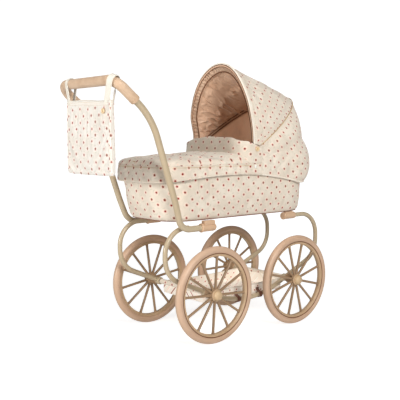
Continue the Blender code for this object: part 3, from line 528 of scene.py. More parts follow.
def sweep(name, points, section, side=None, closed=False, round_ends=0.0, scale=None):
    """A section carried along a run of points, with its ends closed."""
    turns = frames_along(points, side)
    lengths = running(points)
    rows = []
    for i, (point, (a, b)) in enumerate(zip(points, turns)):
        grow = 1.0 if scale is None else scale(lengths[i] / lengths[-1], lengths[i])
        rows.append([point + (a * p + b * q) * grow for p, q in section])
    if not closed:
        for end, rest in ((0, 1), (-1, -2)):
            out = (points[end] - points[rest]).normalized()
            middle = points[end]
            extra = []
            for share, push in ((0.80, 0.75), (0.45, 0.95), (0.001, 1.0)):
                extra.append([middle + (p - middle) * share + out * round_ends * push for p in rows[end]])
            rows = list(reversed(extra)) + rows if end == 0 else rows + extra
    else:
        rows.append(rows[0])
    turned = grid(name, rows, closed=True)
    return joined(name, [turned])


def lathe(name, profile, centre, side=1.0, steps=48, axis="Y"):
    """A profile of (radius, outward offset) turned round an axis; side is the way it faces."""
    rows = []
    for radius, out in profile:
        ring = []
        for step in range(steps):
            angle = -side * 2.0 * math.pi * step / steps
            a = radius * math.cos(angle)
            b = radius * math.sin(angle)
            if axis == "Y":
                ring.append(centre + Vector((a, side * out, b)))
            elif axis == "X":
                ring.append(centre + Vector((side * out, -a, b)))
            else:
                ring.append(centre + Vector((a, -b, side * out)))
        rows.append(ring)
    return joined(name, [grid(name, rows, closed=True)])


def rounded_box(name, low, high, radius=0.001):
    shape = bmesh.new()
    bmesh.ops.create_cube(shape, size=1.0)
    for vert in shape.verts:
        for axis in range(3):
            vert.co[axis] = low[axis] if vert.co[axis] < 0.0 else high[axis]
    bmesh.ops.bevel(shape, geom=shape.edges[:], offset=radius, segments=3, affect="EDGES", profile=0.6)
    mesh = bpy.data.meshes.new(name)
    shape.to_mesh(mesh)
    shape.free()
    mesh.uv_layers.new(name="UVMap")
    return mesh


def bent_route(corners, degrees_per_step=3.0):
    """Points along straight runs whose corners are rounded: corners are (point, bend radius)."""
    points = [Vector(corners[0][0])]
    for index in range(1, len(corners) - 1):
        corner = Vector(corners[index][0])
        back = (Vector(corners[index - 1][0]) - corner).normalized()
        ahead = (Vector(corners[index + 1][0]) - corner).normalized()
        turn = math.pi - back.angle(ahead)
        radius = corners[index][1]
        centre = corner + (back + ahead).normalized() * (radius / math.cos(turn / 2.0))
        start = corner + back * (radius * math.tan(turn / 2.0)) - centre
        axis = back.cross(ahead).normalized()
        steps = max(3, math.ceil(math.degrees(turn) / degrees_per_step))
        for step in range(steps + 1):
            points.append(centre + Matrix.Rotation(-turn * step / steps, 3, axis) @ start)
    points.append(Vector(corners[-1][0]))
    return points


def piece(name, mesh, materials, body, replaced=(), smooth_angle=50.0):
    """Put a mesh in the scene on a body, as a stand-in for CAD nodes where it has any."""
    item = bpy.data.objects.new(name, mesh)
    bpy.context.scene.collection.objects.link(item)
    for material in materials if isinstance(materials, (list, tuple)) else [materials]:
        mesh.materials.append(material)
    mesh.shade_smooth()
    mesh.set_sharp_from_angle(angle=math.radians(smooth_angle))
    if body is not None:
        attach(item, body)
    if replaced:
        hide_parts(*replaced)
    return item


def thicken(item, thickness, offset=-1.0, inner=0, rim=0):
    modifier = item.modifiers.new("thickness", "SOLIDIFY")
    modifier.thickness = thickness
    modifier.offset = offset
    modifier.use_even_offset = False
    modifier.material_offset = inner
    modifier.material_offset_rim = rim
    return item


def soften(item, levels=1):
    modifier = item.modifiers.new("subdivision", "SUBSURF")
    modifier.levels = levels
    modifier.render_levels = levels
    return item


def displace(mesh, amount):
    """Move each vertex along its normal by amount(point)."""
    normals = [vertex.normal.copy() for vertex in mesh.vertices]
    for vertex, normal in zip(mesh.vertices, normals):
        vertex.co += normal * amount(vertex.co)


def settle(mesh, held, pressure=1.0, growth=0.02, limit=0.004, gravity=0.0, frames=14):
    """Let a sewn panel swell and crease in a short cloth run, and keep at most limit of the movement.

    held(index, point) tells which points are sewn down. The panel is cut growth larger than its frame.
    """
    scene = bpy.context.scene
    item = bpy.data.objects.new("settling", mesh.copy())
    scene.collection.objects.link(item)
    group = item.vertex_groups.new(name="sewn")
    group.add([vert.index for vert in mesh.vertices if held(vert.index, vert.co)], 1.0, "REPLACE")
    cloth = item.modifiers.new("cloth", "CLOTH")
    settings = cloth.settings
    settings.quality = 4
    settings.mass = 0.12
    settings.air_damping = 3.0
    settings.tension_stiffness = 14.0
    settings.compression_stiffness = 14.0
    settings.shear_stiffness = 6.0
    settings.bending_stiffness = 0.25
    settings.tension_damping = 6.0
    settings.compression_damping = 6.0
    settings.vertex_group_mass = "sewn"
    settings.shrink_min = -growth
    settings.use_pressure = True
    settings.uniform_pressure_force = pressure
    settings.effector_weights.gravity = gravity
    cloth.point_cache.frame_start = 1
    cloth.point_cache.frame_end = frames
    for frame_number in range(1, frames + 1):
        scene.frame_set(frame_number)
    settled = item.evaluated_get(bpy.context.evaluated_depsgraph_get()).data
    for vert, after in zip(mesh.vertices, settled.vertices):
        move = after.co - vert.co
        if move.length > limit:
            move = move.normalized() * limit
        vert.co += move
    copy = item.data
    bpy.data.objects.remove(item)
    bpy.data.meshes.remove(copy)
    scene.frame_set(1)


def stitch_run(name, points, body, material, length=0.0026, gap=0.0016, radius=0.00032):
    """A row of short sewn stitches along a run of points."""
    run = resample(points, max(3, int(running(points)[-1] / (length + gap)) * 4 + 1))
    meshes = []
    for start in range(0, len(run) - 3, 4):
        meshes.append(sweep(name, [run[start], run[start + 1], run[start + 2]], circle(radius, 6),
                            round_ends=radius))
    return piece(name, joined(name, meshes), material, body)


# ----------------------------------------------------------------------------------------- the wheels
def spoke_rows(angle, width, depth):
    """A tapered spoke with flared feet, as rings from the hub out to the rim."""
    rows = []
    for radius, flare in ((0.0095, 1.5), (0.0125, 1.25), (0.0160, 1.06), (0.0240, 1.0), (0.0560, 0.94),
                          (0.0800, 0.94), (0.0850, 1.05), (0.0885, 1.35), (0.0905, 1.6)):
        ring = []
        for step in range(12):
            turn = 2.0 * math.pi * step / 12
            across = width * flare * math.cos(turn)
            out = depth * (0.55 + 0.45 * flare) * math.sin(turn)
            ring.append((radius * math.cos(angle) - across * math.sin(angle),
                         out, radius * math.sin(angle) + across * math.cos(angle)))
        rows.append(ring)
    return rows


def add_wheel(corner, side, station, phase):
    centre = at(station, side * WHEEL_PLANE_Y, WHEEL_CENTRE_Z)
    body = corner + "_wheel_set"
    rim = [(0.0880, 0.0034), (0.0883, 0.0046), (0.0895, 0.0054), (0.0912, 0.0050), (0.0918, 0.0056),
           (0.0934, 0.0062), (0.0946, 0.0058), (0.0950, 0.0046), (0.0944, 0.0030), (0.0944, -0.0030),
           (0.0950, -0.0046), (0.0946, -0.0058), (0.0934, -0.0062), (0.0918, -0.0056),
           (0.0912, -0.0050), (0.0895, -0.0054), (0.0883, -0.0046), (0.0880, -0.0034),
           (0.0877, 0.0), (0.0880, 0.0034)]
    hub = [(0.0043, 0.0080), (0.0100, 0.0080), (0.0108, 0.0084), (0.0122, 0.0086), (0.0134, 0.0080),
           (0.0140, 0.0068), (0.0140, 0.0052), (0.0132, 0.0046), (0.0132, -0.0040), (0.0138, -0.0050),
           (0.0136, -0.0064), (0.0118, -0.0078), (0.0094, -0.0090), (0.0088, -0.0110),
           (0.0088, -0.0220), (0.0106, -0.0226), (0.0110, -0.0238), (0.0106, -0.0250),
           (0.0043, -0.0250), (0.0043, 0.0080)]
    # A thin brown ring in the gap between tyre and rim: painted shade where the tyre meets the rim.
    groove = [(0.0948 + 0.0009 * math.cos(math.radians(45.0 * k)), 0.0063
               + 0.0009 * math.sin(math.radians(45.0 * k))) for k in range(9)]
    meshes = [lathe("rim", rim, centre, side, 96), lathe("hub", hub, centre, side, 48),
              lathe("groove", groove, centre, side, 96)]
    for index in range(12):
        angle = math.radians(30.0 * index - phase)
        rows = [[centre + Vector((x, side * y, z)) for x, y, z in ring]
                for ring in spoke_rows(angle, 0.0031, 0.0034)]
        meshes.append(grid("spoke", rows, closed=True))
        rib = angle + math.radians(15.0)
        run = [centre + Vector((0.0092 * math.cos(rib), side * y, 0.0092 * math.sin(rib)))
               for y in (-0.0095, -0.0160, -0.0224)]
        meshes.append(sweep("rib", run, circle(0.0013, 8)))
    mesh = joined("wheel", meshes)
    piece(corner + "_moulded_wheel", mesh, [WHEEL_PAINTED_SHADE, WHEEL_RIM, PIPING_AND_SHADE_BROWN], body,
          [corner + "_wheel"], 35.0)
    # Rim and outer hub face take the paler copy. Spokes, ribs and the hub's inner part keep the darker copy as painted
    # shade.
    for face in mesh.polygons:
        reach = math.hypot(face.center.x - centre.x, face.center.z - centre.z)
        out = side * (face.center.y - centre.y)
        # The ring and the rim's outer lip take the brown: painted shade in the tyre-rim gap.
        if 0.0936 < reach and out > 0.0053:
            face.material_index = 2
        elif reach > 0.0877 or (reach < 0.0143 and out > 0.004):
            face.material_index = 1
    tyre = []
    for step in range(33):
        angle = 2.0 * math.pi * step / 32
        radius = 0.1012 + 0.0088 * math.cos(angle)
        if math.cos(angle) < -0.55:
            radius = max(radius, 0.0945)
        tyre.append((radius, 0.0088 * math.sin(angle)))
    piece(corner + "_soft_tyre", lathe("tyre", tyre, centre, side, 112), TYRE, body,
          [corner + "_tyre"])
    cap = [(0.0110, 0.0084), (0.0112, 0.0100), (0.0110, 0.0122), (0.0104, 0.0128), (0.0103, 0.0134)]
    for step in range(9):
        angle = math.radians(8.0 + 82.0 * step / 8)
        cap.append((0.0101 * math.cos(angle), 0.0130 + 0.0050 * math.sin(angle)))
    piece(corner + "_domed_cap", lathe("cap", cap, centre, side, 48), CAP, body,
          [corner + "_hub_cap"])


# -------------------------------------------------------------------------------------- tube and grip
def add_side_tube(label, side):
    y = side * SIDE_TUBE_Y
    corners = [((-0.0480, y, 0.2625), 0.0), ((-0.1125, y, 0.2625), 0.055), ((-0.1125, y, 0.1595), 0.060),
               ((0.0762, y, 0.078), 0.270), ((WHEELBASE - 0.0762, y, 0.078), 0.270),
               ((WHEELBASE + 0.1125, y, 0.1595), 0.060), ((WHEELBASE + 0.1125, y, 0.266), 0.055),
               ((0.2750, y, 0.266), 0.0)]
    route = bent_route([(at(*point), radius) for point, radius in corners])
    meshes = [sweep("tube", route, circle(0.0055, 20), round_ends=0.0012)]
    for _, station in AXLES:
        boss = [(0.0043, 0.0070), (0.0078, 0.0070), (0.0086, 0.0066), (0.0090, 0.0058), (0.0090, -0.0058),
                (0.0086, -0.0066), (0.0078, -0.0070), (0.0043, -0.0070), (0.0043, 0.0070)]
        meshes.append(lathe("boss", boss, at(station, y, WHEEL_CENTRE_Z), side, 40))
    piece(label + "_spring_tube", joined("side_tube", meshes), PAINT, "chassis",
          [label + "_side_tube"])


def handle_route():
    right = [((0.0120, -0.102, 0.261), 0.0), ((-0.0795, -0.102, 0.261), 0.034),
             ((-0.0981, -0.109, 0.3155), 0.150), ((-0.1615, -0.112, 0.501), 0.160),
             ((-0.248, -0.112, 0.573), 0.026)]
    left = [((x, -y, z), radius) for (x, y, z), radius in reversed(right)]
    left[0] = (left[0][0], 0.038)
    return bent_route([(at(*point), radius) for point, radius in right + left])


def add_handle():
    piece("push_handle", sweep("handle", handle_route(), circle(0.0070, 24), round_ends=0.001), PAINT,
          "chassis", ["handle_tube"])
    corners = [((-0.2010, -0.112, 0.5339), 0.0), ((-0.248, -0.112, 0.573), 0.026),
               ((-0.248, 0.112, 0.573), 0.038), ((-0.2010, 0.112, 0.5339), 0.0)]
    route = bent_route([(at(*point), radius) for point, radius in corners], 2.5)
    route = resample(route, 150)

    def swell(share, length):
        total = 1.0 / max(share, 1e-6) * length if share > 0.0 else 0.0
        edge = min(length, max(total - length, 0.0)) if share > 0.0 else 0.0
        hem = 0.045 if edge < 0.0032 else 0.0
        return 0.978 + hem - 0.05 * (1.0 - ease(edge, 0.0, 0.0011))

    mesh = sweep("grip", route, circle(0.0108, 40), round_ends=0.0008, scale=swell)
    bends = (route[34], route[-35])

    def creases(point):
        near = min((point - bend).length for bend in bends)
        fold = math.exp(-(near / 0.022) ** 2)
        wave = ripple(point.x * 160.0, point.y * 160.0, point.z * 160.0, 4.0)
        slow = ripple(point.x * 45.0, point.y * 45.0, point.z * 45.0, 9.0)
        return 0.00055 * fold * wave + 0.00025 * slow

    displace(mesh, creases)
    piece("leather_grip", mesh, LEATHER, "chassis", ["handle_grip"])
    seam = []
    for i, (point, (a, b)) in enumerate(zip(route[4:-4], frames_along(route)[4:-4])):
        inward = (at(-0.17, point.y * 0.75, 0.50) - point).normalized()
        tangent = (route[min(i + 5, len(route) - 1)] - route[i + 3]).normalized()
        inward = (inward - tangent * inward.dot(tangent)).normalized()
        seam.append(point + inward * 0.01075)
    stitch_run("grip_seam", seam, "chassis", PIPING_GOLD, 0.0030, 0.0015, 0.0004)
    for name, start, step in (("right", route[3], route[4]), ("left", route[-4], route[-5])):
        along = (step - start).normalized()
        across = Vector((0.0, 1.0, 0.0))
        up = along.cross(across).normalized()
        ring = [start + (across * math.cos(t) + up * math.sin(t)) * 0.01085
                for t in [2.0 * math.pi * k / 48 for k in range(49)]]
        stitch_run(name + "_grip_hem_stitches", ring, "chassis", PIPING_GOLD, 0.0022, 0.0012, 0.00032)


def add_sleeves(label, side):
    y = side * 0.102
    rear = [(0.0, -0.0002), (0.0086, -0.0002), (0.0098, 0.0004), (0.0103, 0.0014), (0.0102, 0.0028),
            (0.0096, 0.0038), (0.0091, 0.0050), (0.0090, 0.0060), (0.0090, 0.0330), (0.0088, 0.0368),
            (0.0080, 0.0398), (0.0064, 0.0416), (0.0035, 0.0424), (0.0, 0.0425)]
    meshes = [lathe("sleeve", rear, at(-0.0250, y, 0.261), 1.0, 40, "X"),
              rounded_box("saddle", at(-0.018, y - side * 0.001 - 0.0085, 0.2672),
                          at(0.012, y - side * 0.001 + 0.0045, 0.2767), 0.0014)]
    piece(label + "_rear_socket", joined("rear_sleeve", meshes), SLEEVE, "chassis",
          [label + "_rear_sleeve"], 40.0)
    y = side * SIDE_TUBE_Y
    front = [(0.0, 0.0392), (0.0072, 0.0400), (0.0082, 0.0396), (0.0085, 0.0384), (0.0085, 0.0046),
             (0.0087, 0.0036), (0.0092, 0.0028), (0.0093, 0.0012), (0.0089, 0.0001), (0.0076, -0.0002),
             (0.0064, 0.0000), (0.0030, -0.0004), (0.0, -0.0005)]
    meshes = [lathe("sleeve", front, at(0.2520, y, 0.266), 1.0, 40, "X"),
              rounded_box("saddle", at(0.258, y - 0.0045, 0.2722), at(0.284, y + 0.0045, 0.2767), 0.0012)]
    piece(label + "_front_socket", joined("front_sleeve", meshes), SLEEVE, "chassis",
          [label + "_front_sleeve"], 40.0)


# ------------------------------------------------------------------------------------------- bassinet
def plan_outline(rear, head, half, rear_radius, head_radius, count=220):
    """Evenly spaced points round a rectangle with rounded corners, from the middle of the rear end."""
    run = [Vector((rear, 0.0))]
    for centre, radius, start in (
            ((rear + rear_radius, -half + rear_radius), rear_radius, 180.0),
            ((head - head_radius, -half + head_radius), head_radius, 270.0),
            ((head - head_radius, half - head_radius), head_radius, 0.0),
            ((rear + rear_radius, half - rear_radius), rear_radius, 90.0)):
        for step in range(19):
            angle = math.radians(start + 5.0 * step)
            run.append(Vector((centre[0] + radius * math.cos(angle),
                               centre[1] + radius * math.sin(angle))))
    return resample(run, count, closed=True)


def bassinet_outline(height, inset=0.0, count=220):
    rise = (height - BASE_Z) / (RIM_Z - BASE_Z)
    rear = -0.1050 - 0.0175 * rise + inset
    half = 0.098 + 0.0075 * rise - inset
    outline = plan_outline(rear, 0.347 - 0.004 * (1.0 - rise) - inset, half, REAR_CORNER - inset / 2.0,
                           HEAD_CORNER - inset / 2.0, count)
    return [at(point.x, point.y, height) for point in outline]


def skirt_z(x):
    slope = 0.0145 if x < 0.070 else 0.0225
    return max(0.376 - slope * ((x - 0.070) / 0.2) ** 2, 0.349)


def dome_z(x, inset):
    along = min(max((x - APRON_REAR_X) / (FLAP_X - APRON_REAR_X), 0.0), 1.0)
    return APRON_SEAM_Z + (0.0130 + 0.0115 * along) * math.sqrt(1.0 - (1.0 - inset / APRON_HALF) ** 8)


SEAM_STATIONS = (-0.030, 0.002)


def add_bassinet():
    """The padded body: a tailored cover that pulls in at its base, its rim and its upright seams."""
    count = 320
    heights = [BASE_Z + 0.0006, BASE_Z + 0.0020, BASE_Z + 0.0045, BASE_Z + 0.0085]
    heights += [BASE_Z + 0.0135 + 0.0054 * k for k in range(20)]
    heights += [RIM_Z - 0.0025, RIM_Z - 0.0005]
    rows = []
    for inset in (0.085, 0.055, 0.028, 0.012):
        rows.append(bassinet_outline(BASE_Z + 0.0002, inset, count))
    for height in heights:
        drop = max(0.0060 * (1.0 - (height - BASE_Z) / 0.0060), 0.0)
        ring = bassinet_outline(height, drop, count)
        share = (height - BASE_Z) / (RIM_Z - BASE_Z)
        puff = 0.0026 * math.sin(math.pi * min(share * 1.04, 1.0)) ** 0.6 - 0.0006
        out = []
        for i, point in enumerate(ring):
            station = point.x - ORIGIN_X
            normal = (ring[(i + 1) % count] - ring[i - 1]).cross(Vector((0.0, 0.0, 1.0))).normalized()
            pull = 0.0
            if abs(point.y) > 0.085:
                for seam in SEAM_STATIONS:
                    pull += math.exp(-((station - seam) / 0.0022) ** 2)
            wave = ripple(point.x * 16.0, point.y * 16.0, height * 9.0, 2.0)
            fine = ripple(point.x * 46.0, point.y * 46.0, height * 26.0, 5.0)
            low = math.exp(-((height - BASE_Z) / 0.012) ** 2)
            tuck = 0.0005 * low * math.sin(point.x * 620.0 + point.y * 540.0)
            out.append(point + normal * (puff * (1.0 - 0.55 * pull) + 0.0011 * wave + 0.0004 * fine
                                         - 0.0009 * pull + tuck))
        rows.append(out)
    for height, inset in ((RIM_Z + 0.0002, 0.0012), (RIM_Z, 0.0028), (RIM_Z - 0.0020, 0.0040),
                          (RIM_Z - 0.0300, 0.0042), (RIM_Z - 0.0600, 0.0042), (RIM_Z - 0.0900, 0.0042),
                          (BASE_Z + 0.0060, 0.0044), (BASE_Z + 0.0042, 0.0080)):
        rows.append(bassinet_outline(height, inset, count))
    uv_rows = []
    middle = running(bassinet_outline(0.33, 0.0, count) + [bassinet_outline(0.33, 0.0, count)[0]])
    side_start = bassinet_outline(0.33, 0.0, count)
    first = min(range(count), key=lambda i: abs(side_start[i].x - ORIGIN_X - 0.0405) if
                side_start[i].y < -0.09 else 9.0)
    shift = middle[first] - (side_start[first].x - ORIGIN_X - 0.0405)
    for row in rows:
        height = row[0].z
        inner = rows.index(row) >= len(rows) - 8
        base = rows.index(row) < 4
        v = height - 0.3273
        if base:
            v -= (0.085, 0.055, 0.028, 0.012)[rows.index(row)]
        if inner:
            v += 0.6
        uv_rows.append([(length - shift, v) for length in middle])
    mesh = grid("bassinet", rows, uv_rows, closed=True)
    inner_first = (len(rows) - 9) * count

    def sewn(index, point):
        row = index // count
        if row < 8 or row > len(heights) + 1:
            return True
        seam = min(abs(point.x - ORIGIN_X - station) for station in SEAM_STATIONS)
        return abs(point.y) > 0.09 and seam < 0.0012

    settle(mesh, sewn, pressure=1.2, growth=0.014, limit=0.0030)
    cover = piece("bassinet_body", mesh, [COTTON, HEM], "chassis", ["bassinet_shell"])
    for face in mesh.polygons:
        face.material_index = 1 if face.index >= inner_first else 0
    soften(cover)
    for label, side in SIDES:
        for seam in SEAM_STATIONS:
            run = []
            for step in range(12):
                height = BASE_Z + 0.010 + step * 0.0078
                rise = (height - BASE_Z) / (RIM_Z - BASE_Z)
                run.append(at(seam, side * (0.098 + 0.0075 * rise + 0.0001), height))
            stitch_run(f"{label}_body_seam_{'a' if seam < 0.0 else 'b'}", run, "chassis", STITCHES,
                       0.0024, 0.0018, 0.00022)
    # A dark rust ring just under the body's base edge: painted shade, standing in for the shadow line under the
    # bassinet.
    edge = bassinet_outline(BASE_Z + 0.0014, 0.0046, 300)
    edge_shade_ring = sweep("edge_shade_ring", edge + [edge[0]], circle(0.0014, 10), closed=True)
    piece("base_edge_painted_shade", edge_shade_ring, TAB_WEBBING_AND_EDGE_SHADE, "chassis")


def add_mattress():
    """A thin quilted pad with a bound edge and sewn cross channels."""
    rows = []
    low = 0.2857
    for height, inset in ((low, 0.060), (low, 0.016), (low + 0.0020, 0.0115), (low + 0.0060, 0.0098),
                          (low + 0.0160, 0.0098), (low + 0.0195, 0.0115), (low + 0.0215, 0.0160),
                          (low + 0.0225, 0.0240), (low + 0.0228, 0.0400), (low + 0.0228, 0.0600),
                          (low + 0.0228, 0.0800)):
        rows.append(bassinet_outline(height, inset, 260))
    mesh = grid("mattress", rows, closed=True)
    shape = bmesh.new()
    shape.from_mesh(mesh)
    for side in (0, -1):
        ring = [vert for vert in shape.verts if abs(vert.co.z - (low if side == 0 else low + 0.0228)) < 1e-6]
        inner = sorted(ring, key=lambda vert: -vert.index if side else vert.index)[:260]
        loop = sorted(inner, key=lambda vert: vert.index)
        shape.faces.new(loop)
    shape.to_mesh(mesh)
    shape.free()

    def quilt(point):
        if point.z < low + 0.017:
            return 0.0004 * ripple(point.x * 60.0, point.y * 60.0, point.z * 60.0)
        across = math.cos(2.0 * math.pi * (point.x - ORIGIN_X) / 0.045)
        along = math.cos(2.0 * math.pi * point.y / 0.045)
        channel = max(math.exp(-((1.0 - across) / 0.02)), math.exp(-((1.0 - along) / 0.02)))
        return -0.0016 * channel + 0.0006 * ripple(point.x * 50.0, point.y * 50.0, point.z * 50.0, 3.0)

    pad = piece("quilted_mattress", mesh, HEM, "chassis", ["mattress"])
    remesh = pad.modifiers.new("remesh", "REMESH")
    remesh.mode = "VOXEL"
    remesh.voxel_size = 0.0030
    baked = bake_modifiers(pad)
    displace(baked, quilt)
    plan_uv(baked)
    baked.shade_smooth()
    soften(pad)


def bake_modifiers(item):
    """Give an item the mesh that its modifiers make, and take the modifiers off."""
    bpy.context.view_layer.update()
    graph = bpy.context.evaluated_depsgraph_get()
    mesh = bpy.data.meshes.new_from_object(item.evaluated_get(graph))
    item.modifiers.clear()
    old = item.data
    materials = [slot for slot in old.materials]
    item.data = mesh
    mesh.materials.clear()
    for material in materials:
        mesh.materials.append(material)
    bpy.data.meshes.remove(old)
    return mesh


def plan_uv(mesh):
    """UVs in metres from above, and round the sides."""
    layer = mesh.uv_layers.get("UVMap") or mesh.uv_layers.new(name="UVMap")
    for face in mesh.polygons:
        normal = face.normal
        for loop in face.loop_indices:
            co = mesh.vertices[mesh.loops[loop].vertex_index].co
            if abs(normal.z) > 0.6:
                uv = (co.x, co.y)
            elif abs(normal.y) > abs(normal.x):
                uv = (co.x, co.z)
            else:
                uv = (co.y, co.z)
            layer.data[loop].uv = uv


# ---------------------------------------------------------------------------------------------- apron
def apron_edge(count):
    """The apron's top edge, from the right front round the rear to the left front."""
    outline = plan_outline(APRON_REAR_X, 0.36, APRON_HALF, REAR_CORNER, 0.05, 500)
    right = [point for point in outline if point.y <= 0.0 and point.x < APRON_END_X]
    left = [Vector((point.x, -point.y)) for point in right]
    right.append(Vector((CLOTH_END_X, -APRON_HALF)))
    left.append(Vector((CLOTH_END_X, APRON_HALF)))
    run = list(reversed(right)) + left[1:]
    return resample(run, count)


def add_apron():
    """The padded cover over the foot end: a crowned top, a corded edge and a skirt below it."""
    edge = apron_edge(260)
    length = running(edge)
    rows = []
    for level in range(13):
        share = level / 12.0
        row = []
        for i, point in enumerate(edge):
            low = skirt_z(point.x)
            before = edge[max(i - 1, 0)]
            after = edge[min(i + 1, len(edge) - 1)]
            normal = Vector(((after - before).y, -(after - before).x)).normalized() * -1.0
            wave = ripple(point.x * 20.0, point.y * 20.0, share * 0.9, 7.0)
            fine = ripple(point.x * 60.0, point.y * 60.0, share * 2.5, 11.0)
            puff = 0.0010 * math.sin(math.pi * share)
            flare = 0.0030 * (1.0 - share) ** 2
            out = puff + flare + (0.0010 * wave + 0.0004 * fine) * math.sin(math.pi * (0.12 + 0.80 * share))
            height = low + (APRON_SEAM_Z - low) * share
            height += (1.0 - share) * 0.0007 * ripple(point.x * 42.0, point.y * 42.0, 0.0, 13.0)
            row.append(at(point.x + normal.x * out, point.y + normal.y * out, height))
        rows.append(row)
    skirt_uv = []
    start = min(range(len(edge)), key=lambda i: abs(edge[i].x - 0.0405) if edge[i].y < -0.1 else 9.0)
    shift = length[start] + (edge[start].x - 0.0405)
    for level in range(13):
        skirt_uv.append([(-(value - shift), rows[level][i].z - 0.3812) for i, value in enumerate(length)])
    skirt = grid("apron_skirt", rows, skirt_uv, flip=True)

    def sewn(index, point):
        return index // len(edge) in (0, 1, 11, 12) or index % len(edge) in (0, 1, 258, 259)

    settle(skirt, sewn, pressure=0.8, growth=0.016, limit=0.0022)
    item = piece("apron_skirt", skirt, [COTTON, HEM], "chassis", ["apron"])
    thicken(item, 0.0014, -1.0, 1, 0)
    soften(item)

    top_run = [point for point in edge if point.x <= FLAP_X + FLAP_CORNER]
    rows = []
    for level in range(27):
        share = (level / 26.0) ** 1.5
        row = []
        for point in top_run:
            spine = Vector((min(max(point.x, -0.0155 + 0.02 * share), FLAP_X), 0.0))
            flat = point.lerp(spine, share)
            flat.x = min(flat.x, flap_line(abs(flat.y)) + 0.0015)
            inset = min((flat - point).length, APRON_HALF)
            height = dome_z(flat.x, inset)
            fade = ease(inset, 0.002, 0.025)
            wave = ripple(flat.x * 17.0, flat.y * 17.0, 0.0, 3.0)
            fold = ripple(flat.x * 10.0 + flat.y * 26.0, flat.y * 34.0 - flat.x * 12.0, 0.0, 8.0)
            fine = ripple(flat.x * 52.0, flat.y * 52.0, 0.0, 6.0)
            height += fade * (0.0018 * wave + 0.0013 * fold + 0.0005 * fine)
            height -= 0.0020 * math.exp(-(inset / 0.0035) ** 2)
            row.append(at(flat.x, flat.y, height))
        rows.append(row)
    mesh = grid("apron_top", rows, [[(p.x, p.y) for p in row] for row in rows], flip=True)
    mesh = joined("apron_top", [mesh])

    def sewn(index, point):
        return point.z < APRON_SEAM_Z + 0.0012 or point.x - ORIGIN_X > FLAP_X - 0.004

    settle(mesh, sewn, pressure=1.2, growth=0.022, limit=0.0040)
    top = piece("apron_top", mesh, [COTTON, HEM], "chassis")
    thicken(top, 0.0022, -1.0, 1, 0)
    soften(top)
    cord = [at(point.x, point.y, APRON_SEAM_Z + 0.0002) for point in edge]
    piece("apron_edge_cord", sweep("cord", cord, circle(0.0011, 10), round_ends=0.001), COTTON, "chassis")
    inner = []
    outer = []
    for row_point, point in zip(rows[0], top_run):
        inward = (Vector((max(point.x, -0.0155), 0.0)) - point).normalized()
        inner.append(at(point.x + inward.x * 0.0032, point.y + inward.y * 0.0032,
                        dome_z(point.x, 0.0032) - 0.0008))
        outer.append(at(point.x - inward.x * 0.0008, point.y - inward.y * 0.0008, APRON_SEAM_Z - 0.0042))
    double = []
    for point in top_run:
        if point.x < -0.070:
            inward = (Vector((-0.0155, 0.0)) - point).normalized()
            double.append(at(point.x + inward.x * 0.0060, point.y + inward.y * 0.0060,
                             dome_z(point.x, 0.0060) - 0.0006))
    piece("apron_rear_second_cord", sweep("cord", double, circle(0.0009, 8), round_ends=0.001),
          PIPING_GOLD, "chassis")
    piece("apron_seam_shade", sweep("seam", outer, circle(0.00045, 6)), PIPING_GOLD, "chassis")
    stitch_run("apron_top_stitches", inner, "chassis", STITCHES, 0.0026, 0.0018, 0.00028)
    hem = []
    for i, point in enumerate(edge):
        hem.append(rows_hem(edge, i))
    stitch_run("apron_hem_stitches", hem, "chassis", STITCHES, 0.0026, 0.0020, 0.00026)


def rows_hem(edge, i):
    """A point on the skirt's outer face, just above its lower edge."""
    point = edge[i]
    before = edge[max(i - 1, 0)]
    after = edge[min(i + 1, len(edge) - 1)]
    normal = Vector(((after - before).y, -(after - before).x)).normalized() * -1.0
    wave = ripple(point.x * 20.0, point.y * 20.0, 0.1 * 0.9, 7.0)
    out = 0.0030 + 0.0010 * wave * 0.59
    return at(point.x + normal.x * out, point.y + normal.y * out, skirt_z(point.x) + 0.0042)


def flap_line(offset):
    """The station of the flap's face at a side offset, round its corner."""
    past = min(max(offset - FLAP_HALF + 0.0015 + FLAP_CORNER, 0.0), FLAP_CORNER)
    return FLAP_X + FLAP_CORNER - math.sqrt(FLAP_CORNER ** 2 - past ** 2)


